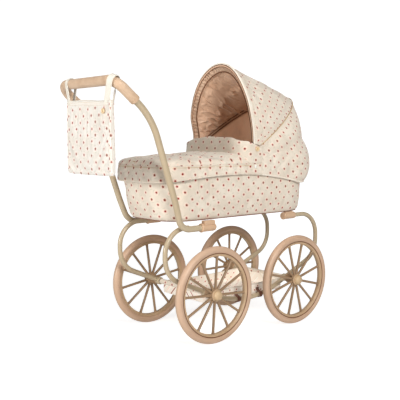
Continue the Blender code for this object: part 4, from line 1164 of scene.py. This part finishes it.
def add_wind_flap():
    """The turned-up band before the hood: two layers, a sewn edge and rounded upper corners."""
    back = CLOTH_END_X
    middle = FLAP_HALF - 0.0015
    corners = [((back, -middle, 0.0), 0.0), ((FLAP_X, -middle, 0.0), FLAP_CORNER),
               ((FLAP_X, middle, 0.0), FLAP_CORNER), ((back, middle, 0.0), 0.0)]
    route = resample(bent_route(corners), 170)
    rows = []
    levels = 14
    length = running(route)
    for level in range(levels + 1):
        share = level / levels
        row = []
        for i, point in enumerate(route):
            behind = max((point.x - FLAP_X - 0.02) / (APRON_END_X - FLAP_X - 0.02), 0.0)
            top = 0.462 - 0.016 * behind
            top += 0.0014 * math.sin(point.y * 26.0 + 0.6) * (1.0 - behind)
            slump = 0.0055 * ease(point.y, 0.0, 0.060) + 0.0085 * ease(point.y, 0.055, 0.100)
            top -= slump * (1.0 - ease(point.x, FLAP_X + 0.014, FLAP_X + 0.042))
            top -= 0.0085 * ease(-point.y, FLAP_HALF - 0.045, FLAP_HALF - 0.004)
            low = APRON_SEAM_Z + 0.0008
            if point.x < FLAP_X + FLAP_CORNER:
                inset = min(max(APRON_HALF - abs(point.y), 0.0), APRON_HALF)
                low = max(low, dome_z(FLAP_X, inset) - 0.0030)
            from_end = min(length[i], length[-1] - length[i])
            corner = 0.007
            if from_end < corner:
                top -= corner - math.sqrt(max(corner ** 2 - (corner - from_end) ** 2, 0.0))
            before = route[max(i - 1, 0)]
            after = route[min(i + 1, len(route) - 1)]
            normal = Vector(((after - before).y, -(after - before).x, 0.0)).normalized()
            lean = 0.0022 * share ** 2 * (1.0 - behind)
            wave = 0.0013 * ripple(point.x * 22.0, point.y * 22.0, share * 0.8, 15.0)
            button = math.exp(-((point.x - 0.137) / 0.020) ** 2 - ((share - 0.62) / 0.40) ** 2)
            crease = 0.0006 * math.sin(share * 21.0 + point.x * 60.0) * button
            out = 0.0006 * math.sin(math.pi * share) + lean + wave * math.sin(math.pi * (0.15 + 0.7 * share))
            row.append(at(point.x, point.y, low + (top - low) * share) + normal * (out + crease))
        rows.append(row)
    start = length[min(range(len(route)), key=lambda i: abs(route[i].x - 0.118) + (route[i].y > 0.0) * 9.0)]
    uv_rows = [[(value - start, point.z - 0.4490) for value, point in zip(length, row)] for row in rows]
    mesh = grid("wind_flap", rows, uv_rows)
    flap = piece("wind_flap_band", mesh, [COTTON, COTTON], "chassis", ["wind_flap"])
    thicken(flap, 0.0030, 0.0)
    soften(flap)
    for label, height in (("upper", -3), ("lower", 2)):
        run = []
        for i in range(4, len(route) - 4):
            before = route[i - 1]
            after = route[i + 1]
            normal = Vector(((after - before).y, -(after - before).x, 0.0)).normalized()
            run.append(rows[height][i] + normal * 0.00155)
        stitch_run(label + "_flap_stitches", run, "chassis", STITCHES, 0.0026, 0.0018, 0.00028)


def add_button(name, centre, side, axis, radius, body, replaced, smooth=True):
    """A turned wooden button: a raised rim, a dished face and crossed thread."""
    r = radius
    profile = [(0.0, 0.0), (r * 0.82, 0.0), (r * 0.97, 0.0006), (r, 0.0013), (r * 0.96, 0.0021),
               (r * 0.84, 0.0025), (r * 0.70, 0.0023), (r * 0.58, 0.0017), (r * 0.30, 0.0015), (0.0, 0.0015)]
    meshes = [lathe(name, profile, centre, side, 40, axis)]
    piece(name, joined(name, meshes), WOOD, body, replaced)
    marks = []
    for a, b in ((-1, -1), (1, 1), (-1, 1), (1, -1)):
        offset = r * 0.17
        if axis == "Y":
            points = [centre + Vector((a * offset, side * 0.0017, b * offset)),
                      centre + Vector((0.0, side * 0.0022, 0.0)),
                      centre + Vector((-a * offset, side * 0.0017, -b * offset))]
        else:
            points = [centre + Vector((side * 0.0017, a * offset, b * offset)),
                      centre + Vector((side * 0.0022, 0.0, 0.0)),
                      centre + Vector((side * 0.0017, -a * offset, -b * offset))]
        marks.append(sweep("thread", points, circle(0.00032, 6), round_ends=0.0003))
    piece(name + "_thread", joined("thread", marks), PIPING_GOLD, body)


def add_fasteners(label, side):
    add_button(label + "_flap_button_turned", at(0.137, side * (FLAP_HALF + 0.0003), 0.434), side, "Y",
               0.0060, "chassis", [label + "_flap_button"])
    snap = [(0.0, 0.0), (0.0033, 0.0), (0.0036, 0.0004), (0.0036, 0.0008), (0.0031, 0.0010),
            (0.0029, 0.0009), (0.0026, 0.0013), (0.0015, 0.0018), (0.0, 0.0019)]
    centre = at(0.132, side * (APRON_HALF + 0.0012), 0.393)
    piece(label + "_press_stud", lathe("snap", snap, centre, side, 36), SNAP, "chassis",
          [label + "_apron_snap"])


# ----------------------------------------------------------------------------------------------- hood
ALONG_MID = Vector((math.cos(MID_ANGLE), 0.0, math.sin(MID_ANGLE)))
ABOVE_FRONT = Vector((-math.sin(FRONT_ANGLE), 0.0, math.cos(FRONT_ANGLE)))
PIVOT_POINT = at(PIVOT[0], 0.0, PIVOT[1])


def arch(reach, half, count, leg_start=0.012):
    """An arch in its own plane as (distance from the pivot, y), evenly spaced."""
    points = [Vector((leg_start, -half))]
    for step in range(65):
        angle = math.pi * step / 64
        points.append(Vector((ARCH_LEG + (reach - ARCH_LEG) * math.sin(angle), -half * math.cos(angle))))
    points.append(Vector((leg_start, half)))
    return resample(points, count)


def on_plane(points, angle, shift=0.0):
    along = Vector((math.cos(angle), 0.0, math.sin(angle)))
    normal = Vector((-math.sin(angle), 0.0, math.cos(angle)))
    return [PIVOT_POINT + along * point.x + Vector((0.0, point.y, 0.0)) + normal * shift
            for point in points]


def fold_front(item):
    """Bake the transform into the mesh; the front cloth stays where it was built, hanging between the two bows."""
    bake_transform(item)


def fold_back(item):
    """Bake the transform into the mesh; the back cloth stays where it was built, running from the bassinet's rim up to
    the middle bow.
    """
    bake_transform(item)


def front_edge(reach, half, count, shift):
    """The hood's front edge, which flares a little outwards once it is clear of the flap."""
    out = []
    for point in arch(reach, half, count):
        flare = ease(point.x, 0.030, 0.085)
        side = ease(abs(point.y) / half, 0.15, 0.85)
        wide = Vector((point.x, point.y * (1.0 + 0.038 * flare)))
        out.append(on_plane([wide], FRONT_ANGLE, shift + 0.0060 * flare * side)[0])
    return out


def front_rows(reach_in, half_in, first_shift, last_shift, steps, sag, seed, count=150, pulled=1.0,
               bulge=0.0):
    """Rows of cloth from the front bow's arch to the middle bow's arch."""
    front = front_edge(0.2030 - reach_in, 0.1100 - half_in, count, first_shift)
    middle = on_plane(arch(0.2386 - reach_in, 0.1100 - half_in, count), MID_ANGLE, last_shift)
    inside = PIVOT_POINT + Vector((0.05, 0.0, 0.04))
    rows = []
    for step in range(steps + 1):
        share = step / steps
        row = []
        for i, (a, b) in enumerate(zip(front, middle)):
            point = a.lerp(b, share)
            across = i / (count - 1)
            inward = (inside - point).normalized()
            hold = math.sin(math.pi * share)
            crown = ease(across, 0.06, 0.22) * ease(1.0 - across, 0.06, 0.22)
            wave = ripple(across * 7.0, share * 1.7, 0.0, seed)
            pull = ripple(across * 26.0, share * 1.3, 0.0, seed + 3.0)
            amount = sag * hold * (0.35 + 0.65 * crown)
            amount -= bulge * crown * math.sin(math.pi * min(share ** 1.6, 1.0))
            lines = ripple(across * 28.0 + 0.8 * share, share * 3.2, 0.0, seed + 8.0)
            ridge = max(1.0 - abs(lines) * 4.0, 0.0) ** 1.5 * ease(ripple(across * 6.0, share * 4.0, 0.0, seed + 12.0),
                                                                 -0.35, 0.25)
            amount += hold * (0.0024 * wave + (0.0016 * pull + 0.0042 * ridge * pulled ** 3) * pulled)
            row.append(point + inward * amount)
        rows.append(row)
    return rows


def add_front_cloth():
    rows = front_rows(0.0, 0.0, 0.0080, 0.0004, 36, 0.0015, 21.0, pulled=0.4, bulge=0.0040)
    cloth = grid("front_cloth", rows, flip=True)
    settle(cloth, edges_of(rows, 5, 2), pressure=0.6, growth=0.010, limit=0.0040)
    shell = piece("hood_front_cloth", cloth, [COTTON, LINING, HEM], None,
                  ["hood_front_panel"])
    strip_hem(shell.data, 0.0110)
    thicken(shell, 0.0012, -1.0, 1, 0)
    soften(shell)
    fold_front(shell)

    rows = front_rows(0.0162, 0.0114, 0.0008, -0.0004, 44, 0.0042, 33.0, count=230, pulled=1.22)
    cloth = grid("front_lining", rows, flip=True)
    settle(cloth, edges_of(rows, 2, 3), pressure=-0.8, growth=0.045, limit=0.0055)
    lining = piece("hood_front_lining", cloth, [LINING, LINING], None)
    thicken(lining, 0.0008, 1.0)
    soften(lining)
    fold_front(lining)

    outer = front_edge(0.2022, 0.1094, 440, 0.0086)
    inner = front_edge(0.1842, 0.0966, 440, 0.0012)
    rows = []
    for step in range(13):
        share = step / 12.0
        hold = math.sin(math.pi * share)
        row = []
        for i, (a, b) in enumerate(zip(outer, inner)):
            gather = math.sin(i * 0.72 + 4.0 * share + 3.4 * ripple(i * 0.06, share * 0.8, 0.0, 41.0))
            gather = (0.5 + 0.5 * gather) ** 0.8 * (0.75 + 0.5 * ripple(i * 0.021, 0.0, 0.0, 44.0))
            row.append(a.lerp(b, share) + ABOVE_FRONT * hold * (0.0036 * gather - 0.0006))
        rows.append(row)
    ruffle = piece("hood_shirred_band", grid("shirring", rows), [SHIRRED, LINING], None)
    thicken(ruffle, 0.0008, -1.0, 1)
    soften(ruffle)
    fold_front(ruffle)
    for name, reach, half, shift, radius, material in (
            ("hood_front_roll", 0.2033, 0.1102, 0.0084, 0.0022, HEM),
            ("hood_outer_piping", 0.2012, 0.1088, 0.0100, 0.0010, PIPING_AND_SHADE_BROWN),
            ("hood_inner_hem", 0.1986, 0.1069, 0.0088, 0.0021, LINING),
            # A thin brown tube in the gap between the hem roll and the shirred band: painted shade.
            ("hood_hem_gap_shade", 0.1962, 0.1051, 0.0098, 0.0007, PIPING_AND_SHADE_BROWN),
            ("hood_inner_piping", 0.1842, 0.0966, 0.0026, 0.0014, PIPING_AND_SHADE_BROWN)):
        run = front_edge(reach, half, 170, shift)
        cover = piece(name, sweep(name, run, circle(radius, 14), round_ends=radius), material, None,
                      ["hood_front_bow"] if name == "hood_front_roll" else ())
        fold_front(cover)
    hem = front_hem_run(rows_source=front_rows(0.0, 0.0, 0.0080, 0.0004, 20, 0.0015, 21.0, pulled=0.4, bulge=0.0040))
    seam = stitch_run("hood_front_stitches", hem, None, STITCHES, 0.0028, 0.0018, 0.00030)
    fold_front(seam)


def edges_of(rows, deep, wide):
    """A test for the points near a panel's edges: deep rows and wide columns at each end."""
    count = len(rows[0])

    def sewn(index, point):
        row, column = divmod(index, count)
        return row < deep or row >= len(rows) - deep or column < wide or column >= count - wide

    return sewn


def strip_hem(mesh, width):
    """The cloth's first run along its columns is a plain turned hem."""
    layer = mesh.uv_layers["UVMap"].data
    for face in mesh.polygons:
        if max(layer[loop].uv.y for loop in face.loop_indices) < width:
            face.material_index = 2


def front_hem_run(rows_source):
    """A line on the outer cloth about 12 mm behind the hood's front edge."""
    run = []
    for a, b in zip(rows_source[2], rows_source[3]):
        out = (a - (PIVOT_POINT + Vector((0.05, 0.0, 0.04)))).normalized()
        run.append(a.lerp(b, 0.2) + out * 0.0014)
    return run


def hem_outline(count):
    start = APRON_END_X + 0.0040
    outline = plan_outline(start - 0.02, 0.350, 0.1125, 0.0100, HEAD_CORNER + 0.002, 600)
    right = [point for point in outline if point.y <= 0.0 and point.x > start]
    run = [Vector((start, -0.1125))] + right
    run += [Vector((point.x, -point.y)) for point in reversed(run[:-1])]
    return resample(run, count)


def back_rows(count, steps, reach_in=0.0, half_in=0.0, hem_in=0.0, seed=51.0, puff=0.0):
    """Rows of cloth from the middle bow down to the hem round the bassinet's head."""
    top = on_plane(arch(0.2386 - reach_in, 0.1100 - half_in, count), MID_ANGLE, -0.0004)
    hem = hem_outline(count)
    rows = []
    for step in range(steps + 1):
        down = step / steps
        bulge = 0.022 * math.sin(math.pi * down ** 2.2)
        spread = 1.0 - (1.0 - down) ** 1.8
        row = []
        for i, (upper, lower) in enumerate(zip(top, hem)):
            towards_head = max((lower.x - 0.250) / 0.100, 0.0)
            outward = Vector((lower.x - 0.250, lower.y)).normalized()
            low = Vector((lower.x + ORIGIN_X, lower.y)) - outward * hem_in
            plan = upper.xy.lerp(low, spread) + outward * bulge * (0.1 + 0.9 * towards_head)
            height = upper.z + (skirt_z(lower.x) - upper.z) * down
            across = i / (count - 1)
            hold = math.sin(math.pi * min(down * 1.02, 1.0))
            crown = ease(across, 0.02, 0.15) * ease(1.0 - across, 0.02, 0.15)
            wave = ripple(across * 9.0, down * 3.4, 0.0, seed)
            drape = ripple(across * 22.0 + down * 5.0, down * 2.0, 0.0, seed + 5.0)
            slump = ripple(across * 4.0, down * 9.0, 0.0, seed + 9.0)
            out = hold * ((0.0022 * wave + 0.0014 * drape + 0.0013 * slump) * (0.3 + 0.7 * crown) + puff)
            shoulder = 0.0050 * crown * math.sin(math.pi * min(down / 0.42, 1.0))
            plan = plan + outward * (out + shoulder)
            row.append(Vector((plan.x, plan.y, height - 0.4 * out * hold + 0.5 * shoulder)))
        rows.append(row)
    return rows


def add_back_cloth():
    rows = back_rows(170, 30)
    hem_row = [point.copy() for point in rows[-1]]
    spread = running(rows[22])
    falls = [running([row[i] for row in rows]) for i in range(170)]
    uv_rows = [[(spread[i] - spread[85] + 0.0125, falls[i][-1] - falls[i][j] - 0.049) for i in range(170)]
               for j in range(len(rows))]
    cloth = grid("back_cloth", rows, uv_rows, flip=True)
    settle(cloth, edges_of(rows, 2, 2), pressure=0.6, growth=0.012, limit=0.0040)
    shell = piece("hood_back_cloth", cloth, [COTTON, LINING], None,
                  ["hood_back_panel"])
    thicken(shell, 0.0012, -1.0, 1, 0)
    soften(shell)
    fold_back(shell)
    rows = back_rows(150, 20, 0.0080, 0.0070, 0.0045, 71.0)[:-3]
    cloth = grid("back_lining", rows, flip=True)
    settle(cloth, edges_of(rows, 2, 3), pressure=-0.8, growth=0.030, limit=0.0035)
    # The back lining takes the paler, glowing copy of the satin: painted light in the hood's shaded back.
    lining = piece("hood_back_lining", cloth, [LINING_PAINTED_BRIGHT, LINING_PAINTED_BRIGHT], None)
    thicken(lining, 0.0008, 1.0)
    soften(lining)
    fold_back(lining)
    roll = []
    for point in hem_row:
        roll.append(point + Vector((0.0, 0.0, 0.0012)))
    hem = sweep("hem", roll, circle(0.0021, 14), round_ends=0.002)
    fold_back(piece("hood_hem_roll", hem, HEM, None))
    run = on_plane(arch(0.2396, 0.1111, 170, 0.018), MID_ANGLE, 0.0)
    piece("hood_seam_piping", sweep("piping", run, circle(0.0009, 10), round_ends=0.001), PIPING_GOLD,
          "hood_middle")
    channel = on_plane(arch(0.2186, 0.0948, 150, 0.030), MID_ANGLE, 0.0110)
    piece("hood_bow_channel", sweep("channel", channel, circle(0.0042, 16), round_ends=0.003), SHIRRED,
          "hood_middle", ["hood_middle_bow"])
    # Brown tubes along both edges of the bow channel: its seams, drawn dark as painted shade beside the channel.
    for name, reach, half, shift in (("front", 0.2104, 0.0886, 0.0146), ("back", 0.2158, 0.0926, 0.0064)):
        run = on_plane(arch(reach, half, 150, 0.034), MID_ANGLE, shift)
        piece(f"hood_channel_seam_and_shade_{name}", sweep("piping", run, circle(0.0013, 8), round_ends=0.001),
              PIPING_AND_SHADE_BROWN, "hood_middle")


# --------------------------------------------------------------------------------------------- basket
def add_basket():
    """A soft tray whose end walls wrap round the axles; its floor hangs a little."""
    inset = 0.0048
    count = 200
    rows = []

    def outline(narrow):
        return plan_outline(inset + narrow, WHEELBASE - inset - narrow, 0.0804 - narrow, 0.006, 0.006,
                            count)

    for narrow in (0.060, 0.045, 0.028, 0.014, 0.006, 0.0025, 0.0008):
        row = []
        for point in outline(narrow):
            share = math.sin(math.pi * min(max(point.x / WHEELBASE, 0.0), 1.0))
            sag = 0.0075 * share * ease(narrow, 0.0, 0.03)
            wave = 0.0016 * ripple(point.x * 24.0, point.y * 24.0, 0.0, 81.0)
            lift = 0.0030 if narrow < 0.002 else (0.0008 if narrow < 0.004 else 0.0)
            row.append(at(point.x, point.y, 0.0806 - sag + wave + lift))
        rows.append(row)
    for height in (0.0880, 0.0930, 0.0985, 0.1035, 0.1075, 0.1085):
        row = []
        for point in outline(0.0):
            share = math.sin(math.pi * min(max(point.x / WHEELBASE, 0.0), 1.0))
            side = abs(point.y) / 0.0804
            wave = ripple(point.x * 30.0, point.y * 30.0, height * 20.0, 83.0)
            inward = Vector((0.0, -math.copysign(1.0, point.y), 0.0))
            top = ease(height, 0.085, 0.1085)
            droop = -0.0030 * share * top * ease(side, 0.9, 1.0)
            edge = at(point.x, point.y, height + droop + 0.0008 * wave * top)
            row.append(edge + inward * (0.0014 * share * (0.5 + wave)))
        rows.append(row)
    mesh = grid("basket", rows, [[(p.x * 1.35, (p.y + (p.z - 0.081) * math.copysign(1.0, p.y)) * 1.35)
                                  for p in row + [row[0]]] for row in rows], closed=True)
    shape = bmesh.new()
    shape.from_mesh(mesh)
    shape.verts.ensure_lookup_table()
    bottom = shape.faces.new([shape.verts[i] for i in range(count - 1, -1, -1)])
    layer = shape.loops.layers.uv["UVMap"]
    for loop in bottom.loops:
        loop[layer].uv = (loop.vert.co.x * 1.35, loop.vert.co.y * 1.35)
    shape.to_mesh(mesh)
    shape.free()
    # The tray's paler, glowing cotton is painted light for the shade under the bassinet.
    tray = piece("cloth_basket", mesh, [COTTON_TRAY_PAINTED_GLOW, COTTON_TRAY_PAINTED_GLOW], "chassis", ["basket"])
    thicken(tray, 0.0013, -1.0, 1, 0)
    rim = [point + Vector((0.0, 0.0, 0.0006)) for point in rows[-1]]
    piece("basket_hem", sweep("hem", rim + [rim[0]], circle(0.0013, 10), closed=True), HEM, "chassis")
    for end, station in AXLES:
        rows = []
        for step in range(37):
            y = -0.0785 + 0.157 * step / 36.0
            ring = []
            for k in range(25):
                turn = 2.0 * math.pi * k / 24.0
                r = 0.0062 + 0.0006 * ripple(y * 60.0, turn, 0.0, 85.0)
                ring.append(at(station + r * math.cos(turn), y, WHEEL_CENTRE_Z + r * math.sin(turn)))
            rows.append(ring)
        casing = piece(end + "_basket_casing", grid("casing", rows, flip=True), COTTON, "chassis")
        thicken(casing, 0.0012, -1.0)


def add_tab(label, place, side, station):
    """A webbing loop round the rail, with its tail sewn to the basket's wall."""
    offset = station - WHEELBASE / 2.0
    y = side * SIDE_TUBE_Y
    z = 0.078 + offset ** 2 / 0.540
    run = []
    for step in range(31):
        turn = math.radians(-40.0 + 320.0 * step / 30.0)
        run.append(at(station, y - side * 0.0069 * math.cos(turn), z - 0.0069 * math.sin(turn)))
    start = [at(station, side * 0.0808, 0.0965), at(station, side * 0.0810, 0.0915)]
    body = sweep("tab", start + run[::-1], band(0.0100, 0.0010), side=(1.0, 0.0, 0.0), round_ends=0.0004)
    piece(f"{label}_{place}_tab_webbing", body, TAB_WEBBING_AND_EDGE_SHADE, "chassis",
          [f"{label}_{place}_basket_tab"])


# ------------------------------------------------------------------------------------------------ bag
def add_bag():
    """A flat pocket sewn from a front, a back and a gusset: it sags and its mouth waves a little."""
    half_width = 0.0852
    centre_x = HANDLE_BAR[0]
    centre_y = BAG_CENTRE_Y - 0.0045
    rows = []
    count = 150
    top = 0.5330
    low = 0.3850
    for level in range(34):
        share = level / 33.0
        height = low + (top - low) * share
        row = []
        round_low = 0.0020 * (1.0 - math.sqrt(max(1.0 - (1.0 - min((height - low) / 0.0020, 1.0)) ** 2, 0.0)))
        plan = []
        half = 0.0052 - round_low * 0.7
        width = half_width - round_low + 0.0034 * (1.0 - share)
        corner = 0.0026
        for cx, cy, start in ((-half + corner, -width + corner, 180.0), (half - corner, -width + corner, 270.0),
                              (half - corner, width - corner, 0.0), (-half + corner, width - corner, 90.0)):
            for step in range(6):
                angle = math.radians(start + 18.0 * step)
                plan.append(Vector((cx + corner * math.cos(angle), cy + corner * math.sin(angle))))
        for point in resample(plan, count, closed=True):
            side = math.copysign(1.0, point.x) if abs(point.x) > half * 0.7 else 0.0
            inside = math.sqrt(max(1.0 - (point.y / width) ** 2, 0.0))
            fill = math.sin(math.pi * min(share * 0.92 + 0.06, 1.0))
            belly = 0.0017 * inside * fill * (1.25 - 0.6 * share)
            mouth = ease(share, 0.90, 1.0)
            wave = ripple(point.y * 17.0, height * 15.0, side, 91.0)
            pull = ripple(point.y * 34.0, height * 9.0, side, 95.0) * ease(share, 0.35, 1.0)
            out = side * (belly - 0.0012 * mouth * inside + 0.0012 * wave * inside + 0.0008 * pull * inside)
            if side == 0.0:
                dent = -0.0011 * math.sin(math.pi * share) * math.copysign(1.0, point.y)
            else:
                dent = 0.0
            sag = -0.0016 * inside * (1.0 - share) ** 3
            lip = 0.0009 * math.sin(point.y * 60.0 + 0.8) * mouth
            lip += 0.0060 * share ** 2 * (point.y / width + 1.0) / 2.0
            row.append(at(centre_x + point.x + out, centre_y + point.y + dent, height + sag + lip))
        rows.append(row)
    base = []
    for shrink in (0.02, 0.35, 0.7):
        base.append([at(centre_x + (p.x - at(centre_x, 0, 0).x) * shrink,
                        centre_y + (p.y - centre_y) * (0.93 + 0.07 * shrink), p.z - 0.0006)
                     for p in rows[0]])
    rows = base + rows
    uv_rows = []
    for row in rows:
        uvs = []
        for p in row + [row[0]]:
            x = p.x - at(centre_x, 0.0, 0.0).x
            front = x < 0.0
            u = (p.y - centre_y) + (0.0 if front else 0.5)
            if abs(p.y - centre_y) > half_width - 0.003:
                u = (p.y - centre_y) - x * math.copysign(1.0, p.y - centre_y)
            uvs.append((u, p.z - 0.4655))
        uv_rows.append(uvs)
    mesh = grid("bag", rows, uv_rows, closed=True)

    def sewn(index, point):
        row = index // count
        edge = abs(point.y - centre_y) > half_width - 0.0012
        return row > len(rows) - 6 or row < 4 or edge

    settle(mesh, sewn, pressure=0.5, growth=0.012, limit=0.0016, gravity=0.4)
    bag = piece("cloth_bag", mesh, [COTTON_WHITE, COTTON_WHITE, PLAIN_WHITE], "bag_set", ["bag"])
    for face in mesh.polygons:
        face.material_index = 2 if face.center.z > top - 0.0065 else 0
    thicken(bag, 0.0012, -1.0, 0, 0)
    soften(bag)
    hem = [point + Vector((0.0, 0.0, -0.0005)) for point in rows[-1]]
    piece("bag_mouth_hem", sweep("hem", hem + [hem[0]], circle(0.0012, 10), closed=True), WEBBING,
          "bag_set")
    middle_x = at(centre_x, 0.0, 0.0).x
    for name, level in (("upper", -2), ("lower", -3)):
        run = []
        for p in rows[level]:
            outward = Vector((p.x - middle_x, (p.y - centre_y) * 0.02, 0.0)).normalized()
            run.append(p + outward * 0.0002)
        stitch_run(f"bag_hem_stitches_{name}", run + [run[0]], "bag_set", STITCHES, 0.0026, 0.0016,
                   0.00028)
    for name, side in SIDES:
        for face, sign in (("front", -1.0), ("rear", 1.0)):
            run = []
            for level in range(5, len(rows) - 1):
                best = min(rows[level], key=lambda p: abs(p.x - middle_x - sign * 0.0062)
                           + abs(p.y - centre_y - side * (half_width - 0.0022)) * 2.0)
                run.append(best + Vector((sign * 0.0004, 0.0, 0.0)))
            cord = sweep("seam", resample(run, 40), circle(0.0007, 8), round_ends=0.0005)
            piece(f"bag_{name}_{face}_seam", cord, COTTON_WHITE, "bag_set")


def add_strap(label, side):
    """A webbing loop over the grip: both legs go down inside the bag's mouth. The right one sits on the bend."""
    if side < 0.0:
        centre = at(HANDLE_BAR[0] + 0.0030, -0.1000, HANDLE_BAR[1] - 0.0025)
        turn = math.radians(30.0)
        axle = Vector((0.77 * math.sin(turn), -math.cos(turn), -0.64 * math.sin(turn))).normalized()
        radius, width = 0.0134, 0.0138
        feet = (-0.0845, -0.0960)
    else:
        centre = at(HANDLE_BAR[0], 0.0600, HANDLE_BAR[1])
        axle = Vector((0.0, -1.0, 0.0))
        radius, width = 0.0119, 0.0104
        feet = (0.0600, 0.0600)
    ahead = Vector((0.0, 0.0, 1.0)).cross(axle).normalized() * -1.0
    above = axle.cross(ahead).normalized()
    if above.z < 0.0:
        above = -above
    if ahead.x < 0.0:
        ahead = -ahead
    front_foot = at(HANDLE_BAR[0] - 0.0036, feet[0], HANDLE_BAR[1] - 0.0490)
    rear_foot = at(HANDLE_BAR[0] + 0.0036, feet[1], HANDLE_BAR[1] - 0.0490)
    arc = []
    for step in range(25):
        angle = math.radians(200.0 - 220.0 * step / 24.0)
        arc.append(centre + ahead * radius * math.cos(angle) + above * radius * math.sin(angle))
    run = [front_foot, front_foot.lerp(arc[0], 0.22), front_foot.lerp(arc[0], 0.45)] + arc
    run += [rear_foot.lerp(arc[-1], 0.45), rear_foot.lerp(arc[-1], 0.22), rear_foot]
    run = resample(run, 70)
    loop = sweep("strap", run, band(width, 0.0014), side=tuple(axle))
    for vertex in loop.vertices:
        gap = vertex.co - centre
        if gap.dot(ahead) > 0.0 and side < 0.0:
            share = ease(centre.z - vertex.co.z, -0.002, 0.020)
            nearest = min(run[35:], key=lambda p: (p - vertex.co).length)
            twist = Matrix.Rotation(math.radians(-72.0) * share, 3, Vector((0.0, 0.0, 1.0)))
            vertex.co = nearest + twist @ (vertex.co - nearest)
    parts = [piece(label + "_strap_webbing", loop, WEBBING, None, [label + "_bag_strap"])]
    for edge in (-1.0, 1.0):
        line = [p + (p - centre).normalized() * 0.0009 + axle * edge * (width / 2.0 - 0.0016)
                for p in run[6:64]]
        parts.append(stitch_run(f"{label}_strap_stitches_{'a' if edge < 0 else 'b'}", line, None, STITCHES,
                                0.0020, 0.0014, 0.00022))
    for part in parts:
        if side < 0.0:
            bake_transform(part)
        else:
            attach(part, "bag_set")


# ------------------------------------------------------------------------------------ stage and camera
def add_stage():
    mesh = bpy.data.meshes.new("floor")
    mesh.from_pydata([(-6, -6, 0), (6, -6, 0), (6, 6, 0), (-6, 6, 0)], [], [(0, 1, 2, 3)])
    floor = bpy.data.objects.new("floor", mesh)
    mesh.materials.append(pale_floor("pale_floor"))
    bpy.context.scene.collection.objects.link(floor)


def add_light(name, location, target, size, power, colour=(1.0, 1.0, 1.0), size_y=None):
    data = bpy.data.lights.new(name, "AREA")
    data.shape = "RECTANGLE"
    data.size = size
    data.size_y = size_y or size
    data.energy = power
    data.color = colour
    light = bpy.data.objects.new(name, data)
    light.location = location
    light.rotation_euler = (Vector(target) - Vector(location)).to_track_quat("-Z", "Y").to_euler()
    bpy.context.scene.collection.objects.link(light)


def add_lights():
    """A bright even surround, a big soft top light, a soft light from the right and a low one behind."""
    scene = bpy.context.scene
    scene.view_settings.view_transform = "Standard"
    world = bpy.data.worlds.new("studio")
    world.use_nodes = True
    tree = world.node_tree
    background = tree.nodes["Background"]
    background.inputs["Color"].default_value = (1.0, 1.0, 1.0, 1.0)
    path = tree.nodes.new("ShaderNodeLightPath")
    strength = tree.nodes.new("ShaderNodeMapRange")
    strength.inputs["To Min"].default_value = SURROUND
    strength.inputs["To Max"].default_value = 1.1
    tree.links.new(path.outputs["Is Camera Ray"], strength.inputs["Value"])
    tree.links.new(strength.outputs[0], background.inputs["Strength"])
    scene.world = world
    middle = (0.0, 0.0, 0.3)
    add_light("overhead", (0.1, -0.5, 2.7), middle, 2.0, 14.0)
    add_light("right_fill", (-0.75, -2.55, 1.65), middle, 0.9, 52.0, (1.0, 0.985, 0.965))
    add_light("left_low", (-3.0, -0.20, 0.84), (-0.1, 0.0, 0.42), 0.34, 43.0, (1.0, 0.985, 0.965))


def add_camera():
    data = bpy.data.cameras.new("camera")
    data.sensor_width = 36.0
    data.lens = 62.36
    data.shift_x = -0.0432
    data.shift_y = 0.0120
    data.clip_end = 50.0
    camera = bpy.data.objects.new("camera", data)
    camera.location = (-1.0554, -1.2720, 0.4620)
    yaw = math.radians(41.06)
    pitch = math.radians(5.61)
    forward = Vector((math.cos(pitch) * math.sin(yaw), math.cos(pitch) * math.cos(yaw), -math.sin(pitch)))
    camera.rotation_euler = forward.to_track_quat("-Z", "Y").to_euler()
    bpy.context.scene.collection.objects.link(camera)
    bpy.context.scene.camera = camera


def keep_node(name, material):
    """A CAD node that keeps its shape and gets its finish."""
    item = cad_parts[name]
    item.data.materials.clear()
    item.data.materials.append(material)


def build():
    add_camera()
    add_lights()
    add_stage()
    phases = {"rear_right": 4.0, "front_right": 15.0, "rear_left": -8.0, "front_left": 0.0}
    for end, station in AXLES:
        keep_node(end + "_axle", STEEL)
        for label, side in SIDES:
            corner = f"{end}_{label}"
            add_wheel(corner, side, station, phases[corner])
            keep_node(corner + "_washer", SLEEVE)
            keep_node(corner + "_axle_clip", STEEL)
    for label, side in SIDES:
        add_side_tube(label, side)
        add_sleeves(label, side)
        add_fasteners(label, side)
        add_strap(label, side)
        keep_node(label + "_hood_pivot", STEEL)
        for place, station in (("rear", 0.100), ("front", 0.172)):
            add_tab(label, place, side, station)
    keep_node("rim_wire", STEEL)
    keep_node("base_board", BOARD)
    add_handle()
    add_bassinet()
    add_mattress()
    add_apron()
    add_wind_flap()
    add_front_cloth()
    add_back_cloth()
    add_basket()
    add_bag()
    centre = at(HANDLE_BAR[0] - 0.0068, BAG_CENTRE_Y - 0.068, 0.513)
    add_button("bag_button_turned", centre, -1.0, "X", 0.0055, "bag_set", ["bag_button"])


build()
